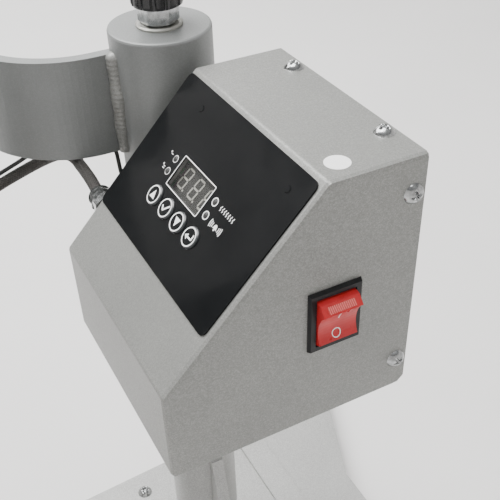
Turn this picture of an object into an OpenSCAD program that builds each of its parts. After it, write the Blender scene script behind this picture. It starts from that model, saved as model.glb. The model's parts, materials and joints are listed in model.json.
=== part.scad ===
/* [Base] */
// Thickness of the base plate
base_t = 6; // [4:0.5:10]
// Distance across between the centres of the rounded leg tips
leg_span_x = 272; // [250:1:310]
// Distance front to back between the centres of the rounded leg tips
leg_span_y = 466; // [450:1:500]
// Radius of each leg tip
leg_tip_r = 22; // [19:0.5:26]
// Width of the base plate at its waist
waist_w = 219; // [210:1:226]
// Front to back length of the straight middle of the plate
plateau_y = 425; // [415:1:435]
// Distance across between the bench bolt holes
bench_span_x = 210; // [200:1:216]
// Distance front to back between the bench bolt holes
bench_span_y = 400; // [380:1:404]
// Diameter of a bench bolt hole
bench_hole_d = 9; // [6:0.5:11]
// Height of a rubber foot
foot_h = 16; // [10:1:30]
// Diameter of a rubber foot
foot_d = 32; // [24:1:36]
// Width of the cross bar behind the post
cross_bar_w = 22; // [15:1:30]
// Thickness of the cross bar behind the post
cross_bar_t = 4; // [2:0.5:8]

/* [Post and sleeve] */
// Distance of the swing axis behind the middle of the base
post_y = 70; // [60:1:80]
// Bore of the swing sleeve
sleeve_id = 45; // [42:0.5:46]
// Outside diameter of the swing sleeve
sleeve_od = 50; // [49:0.5:54]
// Length of the swing sleeve
sleeve_len = 160; // [140:1:200]
// Radial running clearance between post and sleeve
sleeve_fit = 0.07; // [0.03:0.01:0.1]
// Wall of the post tube
post_wall = 4; // [3:0.5:6]
// Thickness of the closed top of the sleeve
sleeve_cap_t = 8; // [6:0.5:10]
// Height of the side gussets of the post
gusset_h = 155; // [120:1:180]
// Reach of a side gusset at its foot
gusset_reach = 35; // [20:1:50]
// Thickness of a side gusset
gusset_t = 8; // [4:0.5:10]

/* [Height screw] */
// Diameter of the height screw
screw_d = 10; // [8:0.5:12]
// How far the head can be lowered by the height screw
height_travel = 8; // [4:0.5:10]
// Width across the flats of the lock nut
nut_af = 17; // [15:0.5:19]
// Height of the lock nut
nut_h = 8; // [5:0.5:10]
// Largest diameter of the fluted knob
knob_d = 25; // [22:1:30]
// Height of the fluted knob
knob_h = 32; // [24:1:40]
// Number of flutes round the knob
knob_flutes = 12; // [6:1:18]

/* [Arm] */
// Height of the flat bar of the arm
strap_h = 51; // [40:1:55]
// Thickness of the flat bar of the arm
strap_t = 6; // [4:0.5:8]
// Reach from the swing axis to the press shaft
reach = 220; // [210:1:230]
// Radius of the first bend of the arm, on its middle line
bend_r = 50; // [44:1:56]
// Angle of the first bend of the arm
bend_deg = 70; // [60:1:76]
// Length of the straight bar between the two bends
bend_gap = 10; // [6:1:16]
// Sideways place of the arm's middle line where it leaves the sleeve
strap_x = -4; // [-6:0.5:-3]
// Radius of a weld bead
weld_r = 3.5; // [3:0.5:6]

/* [Head] */
// Outside diameter of the head barrel
barrel_od = 45; // [43:0.5:48]
// Length of the head barrel
barrel_len = 70; // [60:1:76]
// Diameter of the press shaft
shaft_d = 20; // [16:0.5:21]
// Outside diameter of a shaft bushing
bushing_od = 28; // [25:0.5:32]
// Travel of the press shaft from open to closed
press_travel = 34; // [30:0.5:36]
// Turn of the lever from open to closed
lever_deg = 75; // [65:1:85]
// Length of the return spring when the press is open
spring_len = 54; // [50:0.5:58]
// Wire diameter of the return spring
spring_wire = 2.5; // [2:0.1:2.8]
// Number of turns of the return spring
spring_turns = 6; // [4:0.5:7]
// Thickness of a cheek plate and of a lever plate
plate_t = 6; // [4:0.5:8]
// Diameter of the fulcrum pin
fulcrum_d = 12; // [8:0.5:14]
// Diameter of the crank pin
crank_pin_d = 10; // [8:0.5:10.5]
// Distance from the fulcrum to the end of the handle
handle_len = 205; // [180:1:260]
// Diameter of the handle rod
rod_d = 16; // [12:0.5:18]
// Length of the rubber grip
grip_len = 105; // [80:1:120]
// Diameter of the rubber grip
grip_d = 30; // [24:1:36]

/* [Platens] */
// Width of the curved platens, side to side
platen_w = 140; // [120:1:144]
// Depth of the curved platens, front to back
platen_d = 85; // [70:1:95]
// Radius of the curved working face of the heating platen
platen_r = 120; // [112:1:140]
// Thickness of the heating platen
platen_t = 12; // [8:0.5:14]
// Thickness of the heating element
element_t = 2; // [1:0.5:4]
// Thickness of the insulation over the heating element
insulation_t = 20; // [14:0.5:22]
// Thickness of the silicone pad
pad_t = 7; // [4:0.5:10]
// Thickness of the curved plate of the cap form
form_t = 6; // [4:0.5:8]
// Thickness of the sheet of the platen cover
cover_t = 1.5; // [1:0.1:2]
// Outside diameter of the stand column
column_od = 50; // [46:0.5:56]
// Wall of the stand column
column_wall = 3; // [2:0.5:5]

/* [Control box] */
// Width of the control box
box_w = 115; // [112:1:125]
// Depth of the control box at its bottom
box_d = 115.8; // [110:0.1:125]
// Height of the control box
box_h = 119.2; // [117:0.1:125]
// Depth of the flat top of the control box
box_top_d = 43.5; // [40:0.1:50]
// Height of the upright front of the control box
box_front_h = 45.4; // [40:0.1:48]
// Thickness of the sheet of the control box
sheet_t = 1.5; // [1:0.1:2]
// Radius of the folded edges of the control box
fold_r = 2; // [1.8:0.1:2.5]
// Gap between the sleeve and the control box
box_gap = 10.3; // [9:0.1:14]
// Distance of the swing axis in front of the rear of the control box
box_rear = 45; // [42:0.5:50]
// Height of the bottom of the control box over the base plate
box_clear = 320; // [315:1:330]
// Height of the sleeve's top over the bottom of the control box
sleeve_rise = 127.5; // [124:0.5:135]
// Height of the arm's lower edge over the bottom of the control box
strap_rise = 67; // [60:0.5:75]
// Width of the rocker switch bezel
bezel_w = 24.7; // [24:0.1:27]
// Height of the rocker switch bezel
bezel_h = 30.1; // [29:0.1:33]
// Total tilt of the rocker from off to on
rocker_deg = 20; // [12:1:22]
// Diameter of a push button
button_d = 9.6; // [8:0.1:10]
// Travel of a push button
button_travel = 0.5; // [0.3:0.1:0.8]
// Diameter of a housing screw head
screw_head_d = 9.2; // [7:0.1:10]
// Outside diameter of the heater cable
cable_d = 6; // [5:0.1:7]
// Outside diameter of the sensor lead
lead_d = 2.2; // [1.6:0.1:2.6]

/* [Hidden] */
$fn = 48;
// Small extra length of a cut, so that it runs past its face
over = 1;
// Running clearance of a pin in its bore, on the radius
pin_fit = 0.06;
// Gap between faces that slide past each other
slide_gap = 0.4;
// Gap between welded or seated faces
seat_gap = 0.02;

// Levels from the underside of the base plate
box_z = base_t + box_clear;
sleeve_top = box_z + sleeve_rise;
sleeve_r = sleeve_od / 2;
strap_z = box_z + strap_rise;
barrel_top = strap_z + strap_h + 2;
barrel_z = barrel_top - barrel_len;
head_y = post_y - reach;

// Colours of the finishes
grey_paint = [0.62, 0.63, 0.61];
dark_plastic = [0.05, 0.05, 0.06];
zinc = [0.75, 0.76, 0.78];
steel = [0.6, 0.6, 0.62];
bronze = [0.72, 0.52, 0.25];
rubber_black = [0.08, 0.08, 0.08];

// A profile in Y and Z, extruded along X from x0 over length len
module along_x(x0, len) {
    translate([x0, 0, 0]) rotate([90, 0, 90]) linear_extrude(len) children();
}

// A profile in X and Z, extruded along Y from y0 over length len
module along_y(y0, len) {
    translate([0, y0 + len, 0]) rotate([90, 0, 0]) linear_extrude(len) children();
}

module both_sides() {
    children();
    mirror([1, 0, 0]) children();
}

module box_from(low, high) {
    translate(low) cube(high - low);
}

// Ring of outer radius ro and bore ri from z0 over height h
module tube(ro, ri, z0, h) {
    translate([0, 0, z0]) difference() {
        cylinder(r = ro, h = h);
        translate([0, 0, -over]) cylinder(r = ri, h = h + 2 * over);
    }
}

function unit(v) = v / norm(v);
function left_of(v) = [-v[1], v[0]];

// Corner b of a convex outline a, b, c after both sides move in by d
function moved_corner(a, b, c, d) =
    let (n1 = left_of(unit(b - a)), n2 = left_of(unit(c - b)))
    b + d * (n1 + n2) / (1 + n1 * n2);

// A convex outline with its sides moved in by d
function moved_in(pts, d) =
    let (n = len(pts))
    [for (i = [0:n - 1]) moved_corner(pts[(i + n - 1) % n], pts[i], pts[(i + 1) % n], d)];

// A convex outline with corners of radius r, each in steps pieces
function rounded(pts, r, steps = 4) =
    let (n = len(pts))
    [for (i = [0:n - 1])
        let (a = pts[(i + n - 1) % n], b = pts[i], c = pts[(i + 1) % n],
            o = -left_of(unit(b - a)), a1 = atan2(o[1], o[0]),
            turn = acos(max(-1, min(1, unit(b - a) * unit(c - b)))),
            m = moved_corner(a, b, c, r))
        for (k = [0:steps]) m + r * [cos(a1 + turn * k / steps), sin(a1 + turn * k / steps)]];

// Point where the line from q touches the circle of radius r round c; side is 1 or -1
function tangent_point(q, c, r, side) =
    let (v = c - q, d = norm(v), a = atan2(v[1], v[0]) + side * asin(r / d), l = sqrt(d * d - r * r))
    q + l * [cos(a), sin(a)];

// A screw along +Z whose head sits at z = 0 and above, shank below
module pan_screw(head_d, head_h, shank_d, shank_len) {
    translate([0, 0, -shank_len]) cylinder(d = shank_d, h = shank_len + head_h / 2);
    intersection() {
        cylinder(d = head_d, h = head_h);
        translate([0, 0, head_h - head_dome(head_d, head_h)]) sphere(r = head_dome(head_d, head_h));
    }
}
function head_dome(d, h) = (d * d / 4 + h * h) / (2 * h);

// Base plate

tip = [leg_span_x / 2, leg_span_y / 2];
plateau_corner = [22, plateau_y / 2];
waist_corner = [waist_w / 2 + 4.5, 75];
foot_screw_d = 6;
mid_foot = [92, post_y - 22.6];
foot_places = [[tip[0], tip[1]], [-tip[0], tip[1]], [tip[0], -tip[1]], [-tip[0], -tip[1]],
    [mid_foot[0], mid_foot[1]], [-mid_foot[0], mid_foot[1]]];

module base_quarter() {
    polygon([[0, 0], [waist_w / 2, 0], waist_corner, tangent_point(waist_corner, tip, leg_tip_r, -1), tip,
        tangent_point(plateau_corner, tip, leg_tip_r, 1), plateau_corner, [0, plateau_corner[1]]]);
    translate(tip) circle(r = leg_tip_r);
}

module at_feet() {
    for (p = foot_places) translate([p[0], p[1], 0]) children();
}

module base_plate() {
    color(grey_paint) difference() {
        linear_extrude(base_t) union() {
            base_quarter();
            mirror([1, 0]) base_quarter();
            mirror([0, 1]) base_quarter();
            mirror([1, 0]) mirror([0, 1]) base_quarter();
        }
        for (sx = [-1, 1]) for (sy = [-1, 1])
            translate([sx * bench_span_x / 2, sy * bench_span_y / 2, -over])
                cylinder(d = bench_hole_d, h = base_t + 2 * over);
        at_feet() translate([0, 0, -over]) cylinder(d = foot_screw_d + 0.6, h = base_t + 2 * over);
    }
}

cross_bar_len = 190;
cross_bar_back = 73;
cross_bar_y = post_y + cross_bar_back;

module cross_bar() {
    color(grey_paint) translate([-cross_bar_len / 2, cross_bar_y, base_t])
        cube([cross_bar_len, cross_bar_w, cross_bar_t]);
}

module rubber_feet() {
    pocket_d = 14;
    color(rubber_black) at_feet() rotate_extrude() difference() {
        polygon([[foot_screw_d / 2 + 0.05, 0], [foot_d / 2, 0], [foot_d / 2, -3], [foot_d / 2 - 2, -foot_h],
            [foot_screw_d / 2 + 0.05, -foot_h]]);
        translate([0, -foot_h - over]) square([pocket_d / 2, 5 + over]);
    }
}

module foot_screws() {
    color(zinc) at_feet() translate([0, 0, base_t]) pan_screw(12, 4.5, foot_screw_d, base_t + foot_h - 6);
}

// Post and its gussets

post_r = sleeve_id / 2 - sleeve_fit;
pad_disc_d = 20;
pad_disc_t = 5;
pad_seat = 2;
cap_under = sleeve_top - sleeve_cap_t;
pad_disc_top = cap_under - height_travel - 4;
post_top = pad_disc_top - pad_disc_t + pad_seat;

module pivot_post() {
    plug_t = 12;
    color(grey_paint) translate([0, post_y, 0]) difference() {
        translate([0, 0, base_t]) cylinder(r = post_r, h = post_top - base_t);
        translate([0, 0, base_t - over])
            cylinder(r = post_r - post_wall, h = post_top - base_t - plug_t + over);
        translate([0, 0, post_top - pad_seat]) cylinder(d = pad_disc_d + 0.2, h = pad_seat + over);
    }
}

module post_gussets() {
    gusset_head = 4;
    color(grey_paint) difference() {
        both_sides() along_y(post_y - gusset_t / 2, gusset_t)
            polygon([[post_r - 4, base_t], [post_r + gusset_reach, base_t],
                [post_r + gusset_reach, base_t + 6],
                [post_r + gusset_head, base_t + gusset_h], [post_r - 4, base_t + gusset_h]]);
        translate([0, post_y, base_t - over]) cylinder(r = post_r + seat_gap, h = gusset_h + 2 * over);
    }
}

// Height screw, its pad, nut, washer and knob

washer_t = 1.5;
nut_gap = 0.4;
nut_z = sleeve_top + washer_t + nut_gap;
knob_z = nut_z + nut_h;

module thrust_pad() {
    color(bronze) translate([0, post_y, post_top - pad_seat + 0.05])
        cylinder(d = pad_disc_d, h = pad_disc_t - 0.05);
}

module height_screw() {
    tip_gap = 0.05;
    knob_seat = 24;
    color(zinc) translate([0, post_y, pad_disc_top + tip_gap])
        cylinder(d = screw_d, h = knob_z + knob_seat - pad_disc_top - tip_gap);
}

module lock_nut() {
    corner_r = nut_af / 2 / cos(30);
    bevel = 1.6;
    color(zinc) translate([0, post_y, nut_z]) difference() {
        intersection() {
            rotate(8) cylinder(r = corner_r, h = nut_h, $fn = 6);
            rotate_extrude() polygon([[0, 0], [nut_af / 2, 0], [nut_af / 2 + bevel, bevel / 2],
                [nut_af / 2 + bevel, nut_h - bevel / 2], [nut_af / 2, nut_h], [0, nut_h]]);
        }
        translate([0, 0, -over]) cylinder(d = screw_d + 0.1, h = nut_h + 2 * over);
    }
}

module height_knob() {
    flute_r = knob_d * 0.07;
    color(dark_plastic) translate([0, post_y, knob_z]) difference() {
        rotate_extrude() polygon([[0, 0], [knob_d / 2 - 1.4, 0], [knob_d / 2 - 0.4, 0.5], [knob_d / 2, 1.8],
            [knob_d / 2, knob_h - 5], [knob_d / 2 - 0.8, knob_h - 2.5], [knob_d / 2 - 2.5, knob_h - 0.8],
            [knob_d / 2 - 5, knob_h], [0, knob_h]]);
        for (i = [0:knob_flutes - 1]) rotate(i * 360 / knob_flutes)
            translate([knob_d / 2 + flute_r * 0.45, 0, -over])
                cylinder(r = flute_r, h = knob_h + 2 * over, $fn = 24);
        translate([0, 0, -over]) cylinder(d = screw_d + 0.1, h = 25 + over);
    }
}

module screw_washer() {
    washer_d = 22.6;
    color(zinc) translate([0, post_y, sleeve_top]) rotate_extrude()
        polygon([[screw_d / 2 + 0.6, 0], [washer_d / 2, 0], [washer_d / 2, washer_t * 0.55],
            [washer_d / 2 - 0.7, washer_t], [screw_d / 2 + 0.6, washer_t]]);
}

module pivot_sleeve() {
    edge = 1.2;
    color(grey_paint) translate([0, post_y, 0]) rotate_extrude() polygon([
        [sleeve_id / 2, sleeve_top - sleeve_len], [sleeve_r - edge, sleeve_top - sleeve_len],
        [sleeve_r, sleeve_top - sleeve_len + edge], [sleeve_r, sleeve_top - edge],
        [sleeve_r - edge * 0.3, sleeve_top - edge * 0.3], [sleeve_r - edge, sleeve_top],
        [screw_d / 2 + pin_fit, sleeve_top], [screw_d / 2 + pin_fit, cap_under], [sleeve_id / 2, cap_under]]);
}

// Arm of flat bar, bent to the left and back to the head

bend_y = post_y - sleeve_r - 8;
bend_end = [strap_x - bend_r + bend_r * cos(bend_deg), bend_y - bend_r * sin(bend_deg)];
bow_start = bend_end - bend_gap * [sin(bend_deg), cos(bend_deg)];
bow_r = (bow_start[1] - head_y) / (1 + sin(bend_deg));
bow_centre = bow_start + bow_r * [cos(bend_deg), -sin(bend_deg)];

bar_end_x = max(bow_centre[0] + 2, -8);

function arc_points(c, r, from, to, steps) =
    [for (i = [0:steps]) c + r * [cos(from + (to - from) * i / steps), sin(from + (to - from) * i / steps)]];

// One side of the bar seen from above, from the sleeve to the head
function bar_side(d) = concat(
    [[strap_x + d, post_y - 10]],
    arc_points([strap_x - bend_r, bend_y], bend_r + d, 0, -bend_deg, 20),
    arc_points(bow_centre, bow_r - d, 180 - bend_deg, 270, 40),
    [[bar_end_x, head_y + d]]);

module arm_strap() {
    bead_y = post_y - sqrt(sleeve_r * sleeve_r - strap_x * strap_x);
    right = bar_side(strap_t / 2);
    left = bar_side(-strap_t / 2);
    last = len(left) - 1;
    color(grey_paint) difference() {
        translate([0, 0, strap_z]) linear_extrude(strap_h) union() {
            polygon(concat(left, [for (i = [0:last]) right[last - i]]));
            translate([strap_x + strap_t / 2 + 0.5, bead_y + 0.3]) circle(r = weld_r, $fn = 24);
            for (s = [-1, 1]) translate([-barrel_od / 2 - 0.5, head_y + s * (strap_t / 2 + 0.5)])
                circle(r = weld_r, $fn = 24);
        }
        translate([0, post_y, strap_z - over]) cylinder(r = sleeve_r + seat_gap, h = strap_h + 2 * over);
        translate([0, head_y, strap_z - over]) cylinder(d = barrel_od + 2 * seat_gap, h = strap_h + 2 * over);
    }
}

// Head: barrel, bushings, cheeks and fulcrum pin

bushing_flange_t = 3;
bushing_len = 20;
block_w = 24;
block_d = 34;
block_h = 28;
slot_rise = 15;
lever_in = block_w / 2 + slide_gap;
lever_out = lever_in + plate_t;
cheek_in = lever_out + slide_gap;
cheek_out = cheek_in + plate_t;
block_z = barrel_top + bushing_flange_t + 0.2 + spring_len;
crank_r = press_travel / (2 * sin(lever_deg / 2));
fulcrum_y = head_y + crank_r * (1 + cos(lever_deg / 2)) / 2;
fulcrum_z = block_z + slot_rise - press_travel / 2;
crank_y = fulcrum_y - crank_r * cos(lever_deg / 2);
crank_z = fulcrum_z + crank_r * sin(lever_deg / 2);
cheek_r = fulcrum_d / 2 + 9;
cheek_low = barrel_top - 50;
cheek_front = head_y + strap_t / 2 + weld_r + 1.5;

module head_barrel() {
    color(grey_paint) translate([0, head_y, 0])
        tube(barrel_od / 2, bushing_od / 2 + seat_gap, barrel_z, barrel_len);
}

module shaft_bushings() {
    flange_r = bushing_od / 2 + 4;
    profile = [[shaft_d / 2 + pin_fit, 0], [flange_r, 0], [flange_r, bushing_flange_t],
        [bushing_od / 2, bushing_flange_t], [bushing_od / 2, bushing_flange_t + bushing_len],
        [shaft_d / 2 + pin_fit, bushing_flange_t + bushing_len]];
    color(bronze) {
        translate([0, head_y, barrel_z - bushing_flange_t]) rotate_extrude() polygon(profile);
        translate([0, head_y, barrel_top + bushing_flange_t])
            mirror([0, 0, 1]) rotate_extrude() polygon(profile);
    }
}

module head_cheeks() {
    color(grey_paint) difference() {
        both_sides() along_x(cheek_in, plate_t) difference() {
            union() {
                translate([fulcrum_y, fulcrum_z]) circle(r = cheek_r);
                polygon([[fulcrum_y - cheek_r, fulcrum_z], [fulcrum_y + cheek_r, fulcrum_z],
                    [fulcrum_y + cheek_r, cheek_low + 20], [fulcrum_y, cheek_low],
                    [cheek_front, cheek_low], [cheek_front, barrel_top + 6]]);
            }
            translate([fulcrum_y, fulcrum_z]) circle(d = fulcrum_d + 2 * seat_gap);
        }
        translate([0, head_y, barrel_z]) cylinder(d = barrel_od + 2 * seat_gap, h = barrel_len + 0.01);
    }
}

module fulcrum_pin() {
    pin_head_t = 3;
    half = cheek_out + 0.5;
    color(steel) translate([-half - pin_head_t, fulcrum_y, fulcrum_z]) rotate([0, 90, 0]) {
        cylinder(d = fulcrum_d, h = 2 * half + 2 * pin_head_t);
        cylinder(d = fulcrum_d + 6, h = pin_head_t);
        translate([0, 0, 2 * half + pin_head_t]) cylinder(d = fulcrum_d + 6, h = 1.5);
    }
}

// Return spring, one unbroken wire of six-sided rings

spring_r = shaft_d / 2 + 1 + spring_wire / 2;
spring_steps = 8;
spring_z0 = barrel_top + bushing_flange_t + spring_wire / 2 + 0.1;
spring_z1 = block_z - spring_wire / 2 - 0.1;
end_turn = 0.9;
end_pitch = spring_wire + 0.6;

// Height over the lower end after t turns, with a fine pitch in both end turns
function spring_lift(t) =
    let (mid = spring_turns - 2 * end_turn, rise = spring_z1 - spring_z0 - 2 * end_turn * end_pitch)
    end_pitch * (min(t, end_turn) + max(0, t - spring_turns + end_turn)) +
    rise * max(0, min(1, (t - end_turn) / mid));
function spring_point(t) = [spring_r * cos(360 * t), spring_r * sin(360 * t), spring_z0 + spring_lift(t)];
spring_count = floor(spring_turns * spring_steps);
spring_path = [for (i = [0:spring_count]) spring_point(i / spring_steps)];
spring_gap = min([for (i = [0:spring_count - spring_steps + 2]) for (j = [i + spring_steps - 2:spring_count])
    norm(spring_path[i] - spring_path[j])]) - spring_wire;
echo("least gap of the return spring to itself", spring_gap);

// Six corners of the wire round point c at angle deg, moved by shift along the wire
function spring_ring(c, deg, shift) =
    [for (k = [0:5]) let (a = 60 * k, out = spring_wire / 2 * cos(a))
        [c[0] + out * cos(deg) - shift * sin(deg), c[1] + out * sin(deg) + shift * cos(deg),
            c[2] + spring_wire / 2 * sin(a)]];

module return_spring() {
    last = spring_count;
    step = 360 / spring_steps;
    pts = [each spring_ring(spring_path[0], 0, -spring_wire),
        for (i = [0:last]) each spring_ring(spring_path[i], i * step, 0),
        each spring_ring(spring_path[last], last * step, spring_wire)];
    rings = last + 2;
    sides = [for (i = [0:rings - 1]) for (k = [0:5]) let (a = 6 * i + k, b = 6 * i + (k + 1) % 6)
        each [[a, a + 6, b], [b, a + 6, b + 6]]];
    ends = [for (k = [1:4]) each [[0, k, k + 1], [6 * rings, 6 * rings + k + 1, 6 * rings + k]]];
    color(steel) translate([0, head_y, 0]) polyhedron(pts, concat(sides, ends));
}

// Press shaft and its slotted head, drawn with the press open

bracket_t = 8;
bracket_top = barrel_z - bushing_flange_t - 1;
shaft_seat = 8;

module press_shaft() {
    color(steel) translate([0, head_y, bracket_top - bracket_t])
        cylinder(d = shaft_d, h = block_z + shaft_seat - bracket_top + bracket_t);
}

slot_side = crank_r * (1 - cos(lever_deg / 2)) / 2 + crank_pin_d / 2 + 0.5;
slot_up = crank_pin_d / 2 + 0.8;

module shaft_head() {
    color(steel) difference() {
        along_x(-block_w / 2, block_w) difference() {
            polygon(rounded([[head_y - block_d / 2, block_z], [head_y + block_d / 2, block_z],
                [head_y + block_d / 2, block_z + block_h], [head_y - block_d / 2, block_z + block_h]], 5));
            translate([head_y, block_z + slot_rise])
                square([2 * slot_side, 2 * slot_up], center = true);
        }
        translate([0, head_y, block_z - over]) cylinder(d = shaft_d + 2 * seat_gap, h = shaft_seat + over);
    }
}

// Lever, drawn with the press open

rest_deg = 85;
bridge_start = 50;
bridge_len = 25;
arm_half = 11;

module lever_outline() {
    translate([fulcrum_y, fulcrum_z]) circle(r = fulcrum_d / 2 + 8);
    translate([crank_y, crank_z]) circle(r = crank_pin_d / 2 + 5);
    translate([fulcrum_y, fulcrum_z]) rotate(180 - rest_deg)
        translate([0, -arm_half]) square([bridge_start + bridge_len, 2 * arm_half]);
    polygon([[fulcrum_y + 4, fulcrum_z - 10], [crank_y - 7, crank_z - 7], [crank_y - 7, crank_z + 7],
        [fulcrum_y - 8, fulcrum_z + 44], [fulcrum_y + 8, fulcrum_z + 10]]);
}

module lever_plates() {
    color(grey_paint) difference() {
        union() {
            both_sides() along_x(lever_in, plate_t) lever_outline();
            along_x(-lever_in, 2 * lever_in) translate([fulcrum_y, fulcrum_z]) rotate(180 - rest_deg)
                translate([bridge_start, -arm_half]) square([bridge_len, 2 * arm_half]);
        }
        along_x(-lever_out - over, 2 * lever_out + 2 * over) {
            translate([fulcrum_y, fulcrum_z]) circle(r = fulcrum_d / 2 + pin_fit);
            translate([crank_y, crank_z]) circle(r = crank_pin_d / 2 + seat_gap);
        }
        lever_axis(bridge_start + 8) cylinder(d = rod_d + 2 * seat_gap, h = bridge_len);
    }
}

// Places children with +Z along the handle, at distance s from the fulcrum
module lever_axis(s) {
    translate([0, fulcrum_y, fulcrum_z]) rotate([90 - rest_deg, 0, 0]) translate([0, 0, s]) children();
}

module crank_pin() {
    color(steel) translate([-lever_out, crank_y, crank_z]) rotate([0, 90, 0])
        cylinder(d = crank_pin_d, h = 2 * lever_out);
}

module handle_rod() {
    color(zinc) lever_axis(bridge_start + 8) cylinder(d = rod_d, h = handle_len - bridge_start - 8 - 4);
}

module handle_grip() {
    ridge = 1.2;
    ridges = 7;
    step = (grip_len - 20) / ridges;
    bore_r = rod_d / 2 + seat_gap;
    color(rubber_black) lever_axis(handle_len - grip_len) difference() {
        rotate_extrude() polygon(concat(
            [[0, 0], [grip_d / 2 - 1, 0], [grip_d / 2 + 1, 1.5], [grip_d / 2 + 1, 5]],
            [for (i = [0:ridges - 1]) each [[grip_d / 2 - ridge, 7 + i * step],
                [grip_d / 2, 7 + (i + 0.3) * step],
                [grip_d / 2, 7 + (i + 0.7) * step]]],
            [[grip_d / 2 - ridge, 7 + ridges * step], [grip_d / 2 - 1, grip_len - 5], [grip_d / 2 - 5,
                grip_len - 1],
                [grip_d / 2 - 9, grip_len], [0, grip_len]]));
        translate([0, 0, -over]) cylinder(r = bore_r, h = grip_len - 4 + over);
    }
}

// Heating head, drawn with the press open

cover_gap = 8;
cover_top = bracket_top - bracket_t - cover_gap;
platen_top_r = platen_r + platen_t;
element_top_r = platen_top_r + element_t;
heat_apex = cover_top - cover_t - insulation_t - element_t - platen_t;
heat_axis = heat_apex - platen_r;
platen_edge = heat_axis + sqrt(platen_r * platen_r - platen_w * platen_w / 4);
stud_x = 24;
stud_y = 26;
stud_d = 8;
cover_half_w = platen_w / 2 + 4.5;
cover_d = platen_d + 9;
arch_rise = 2;

// Arc band between radii r0 and r1 round a centre at height z, cut to width w
module arc_band(r0, r1, z, w) {
    intersection() {
        translate([0, z]) difference() {
            circle(r = r1, $fn = 180);
            circle(r = r0, $fn = 180);
        }
        translate([-w / 2, z + r0 / 3]) square([w, r1]);
    }
}

module at_studs() {
    for (sx = [-1, 1]) for (sy = [-1, 1]) translate([sx * stud_x, head_y + sy * stud_y, 0]) children();
}

module platen_bracket() {
    color(grey_paint) difference() {
        box_from([-38, head_y - 38, bracket_top - bracket_t], [38, head_y + 38, bracket_top]);
        translate([0, head_y, bracket_top - bracket_t - over])
            cylinder(d = shaft_d + 2 * seat_gap, h = bracket_t + 2 * over);
        at_studs() translate([0, 0, bracket_top - bracket_t - over])
            cylinder(d = stud_d + 0.6, h = bracket_t + 2 * over);
    }
}

module platen_studs() {
    spacer_d = 14;
    stud_nut_h = 6;
    stud_low = heat_axis + sqrt(pow(element_top_r, 2) - pow(stud_x - stud_d / 2, 2)) + 0.1;
    color(zinc) at_studs() {
        translate([0, 0, stud_low]) cylinder(d = stud_d, h = bracket_top + stud_nut_h + 3 - stud_low);
        translate([0, 0, cover_top]) cylinder(d = spacer_d, h = cover_gap);
        translate([0, 0, bracket_top]) cylinder(r = 7.5, h = stud_nut_h, $fn = 6);
    }
}

cover_shape = [[-cover_half_w, platen_edge], [cover_half_w, platen_edge], [cover_half_w, cover_top - 22],
    [42, cover_top], [-42, cover_top], [-cover_half_w, cover_top - 22]];

module cover_outline(d) {
    polygon(rounded(moved_in(cover_shape, d), 1.6 + (d > 0 ? -1 : 1), 3));
}

module platen_cover() {
    color(grey_paint) difference() {
        along_y(head_y - cover_d / 2, cover_d) cover_outline(0);
        along_y(head_y - cover_d / 2 + cover_t, cover_d - 2 * cover_t) cover_outline(cover_t);
        box_from([-cover_half_w - over, head_y - cover_d / 2 - over, platen_edge - over],
            [cover_half_w + over, head_y + cover_d / 2 + over, platen_edge + cover_t + 1.5]);
        along_y(head_y - cover_d / 2 - over, cover_d + 2 * over)
            translate([0, heat_axis]) circle(r = platen_r + arch_rise, $fn = 180);
        at_studs() translate([0, 0, cover_top - cover_t - over])
            cylinder(d = stud_d + 0.6, h = cover_t + 2 * over);
        at_lead_end(cable_route) translate([0, 0, -cover_t - over])
            cylinder(r = gland_r - 2, h = cover_t + 2 * over);
        at_lead_end(lead_route) translate([0, 0, -cover_t - over])
            cylinder(d = lead_d + 1, h = cover_t + 2 * over);
    }
}

module insulation_pad() {
    color([0.9, 0.88, 0.8]) difference() {
        along_y(head_y - platen_d / 2, platen_d) difference() {
            intersection() {
                cover_outline(cover_t + 0.2);
                translate([-platen_w / 2, heat_axis]) square([platen_w, 2 * platen_r]);
            }
            translate([0, heat_axis]) circle(r = element_top_r + 0.05, $fn = 180);
        }
        at_studs() translate([0, 0, heat_axis]) cylinder(d = stud_d + 0.6, h = 2 * platen_r);
    }
}

module heating_element() {
    color([0.55, 0.5, 0.42]) along_y(head_y - platen_d / 2 + 3, platen_d - 6)
        arc_band(platen_top_r + 0.02, element_top_r, heat_axis, platen_w - 6);
}

module heating_platen() {
    color([0.25, 0.25, 0.27]) along_y(head_y - platen_d / 2, platen_d)
        arc_band(platen_r, platen_top_r, heat_axis, platen_w);
}

// Cap form, its pad and its stand, placed so that the press closes on the pad

press_gap = 0.4;
form_axis = heat_axis - press_travel;
pad_r = platen_r - press_gap;
form_r = pad_r - pad_t;
form_edge = form_axis + sqrt(form_r * form_r - platen_w * platen_w / 4);
form_foot = form_edge - form_t - 2;
form_base_t = 6;
stem_flange_t = 6;
stem_top = form_foot - form_base_t - stem_flange_t;
column_h = 184;
column_r = column_od / 2;
stem_r = column_r - column_wall - 0.1;
clamp_z = 170;

module silicone_pad() {
    color([0.85, 0.35, 0.2]) along_y(head_y - platen_d / 2, platen_d)
        arc_band(form_r + 0.02, pad_r, form_axis, platen_w - 2);
}

module cap_form() {
    color(grey_paint) along_y(head_y - platen_d / 2, platen_d) {
        arc_band(form_r - form_t, form_r, form_axis, platen_w);
        for (s = [-1, 1]) translate([s * (platen_w / 2 - form_t / 2) - form_t / 2, form_foot])
            square([form_t, form_edge - form_foot]);
    }
}

module form_ribs() {
    rib_t = 4;
    rib_in = 4;
    color(grey_paint) for (s = [-1, 1])
        along_y(head_y + s * (platen_d / 2 - rib_in) - rib_t / 2, rib_t) intersection() {
            translate([0, form_axis]) circle(r = form_r - form_t - 0.05, $fn = 180);
            translate([-platen_w / 2 + form_t + 0.05, form_foot])
                square([platen_w - 2 * form_t - 0.1, platen_r]);
        }
}

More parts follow.
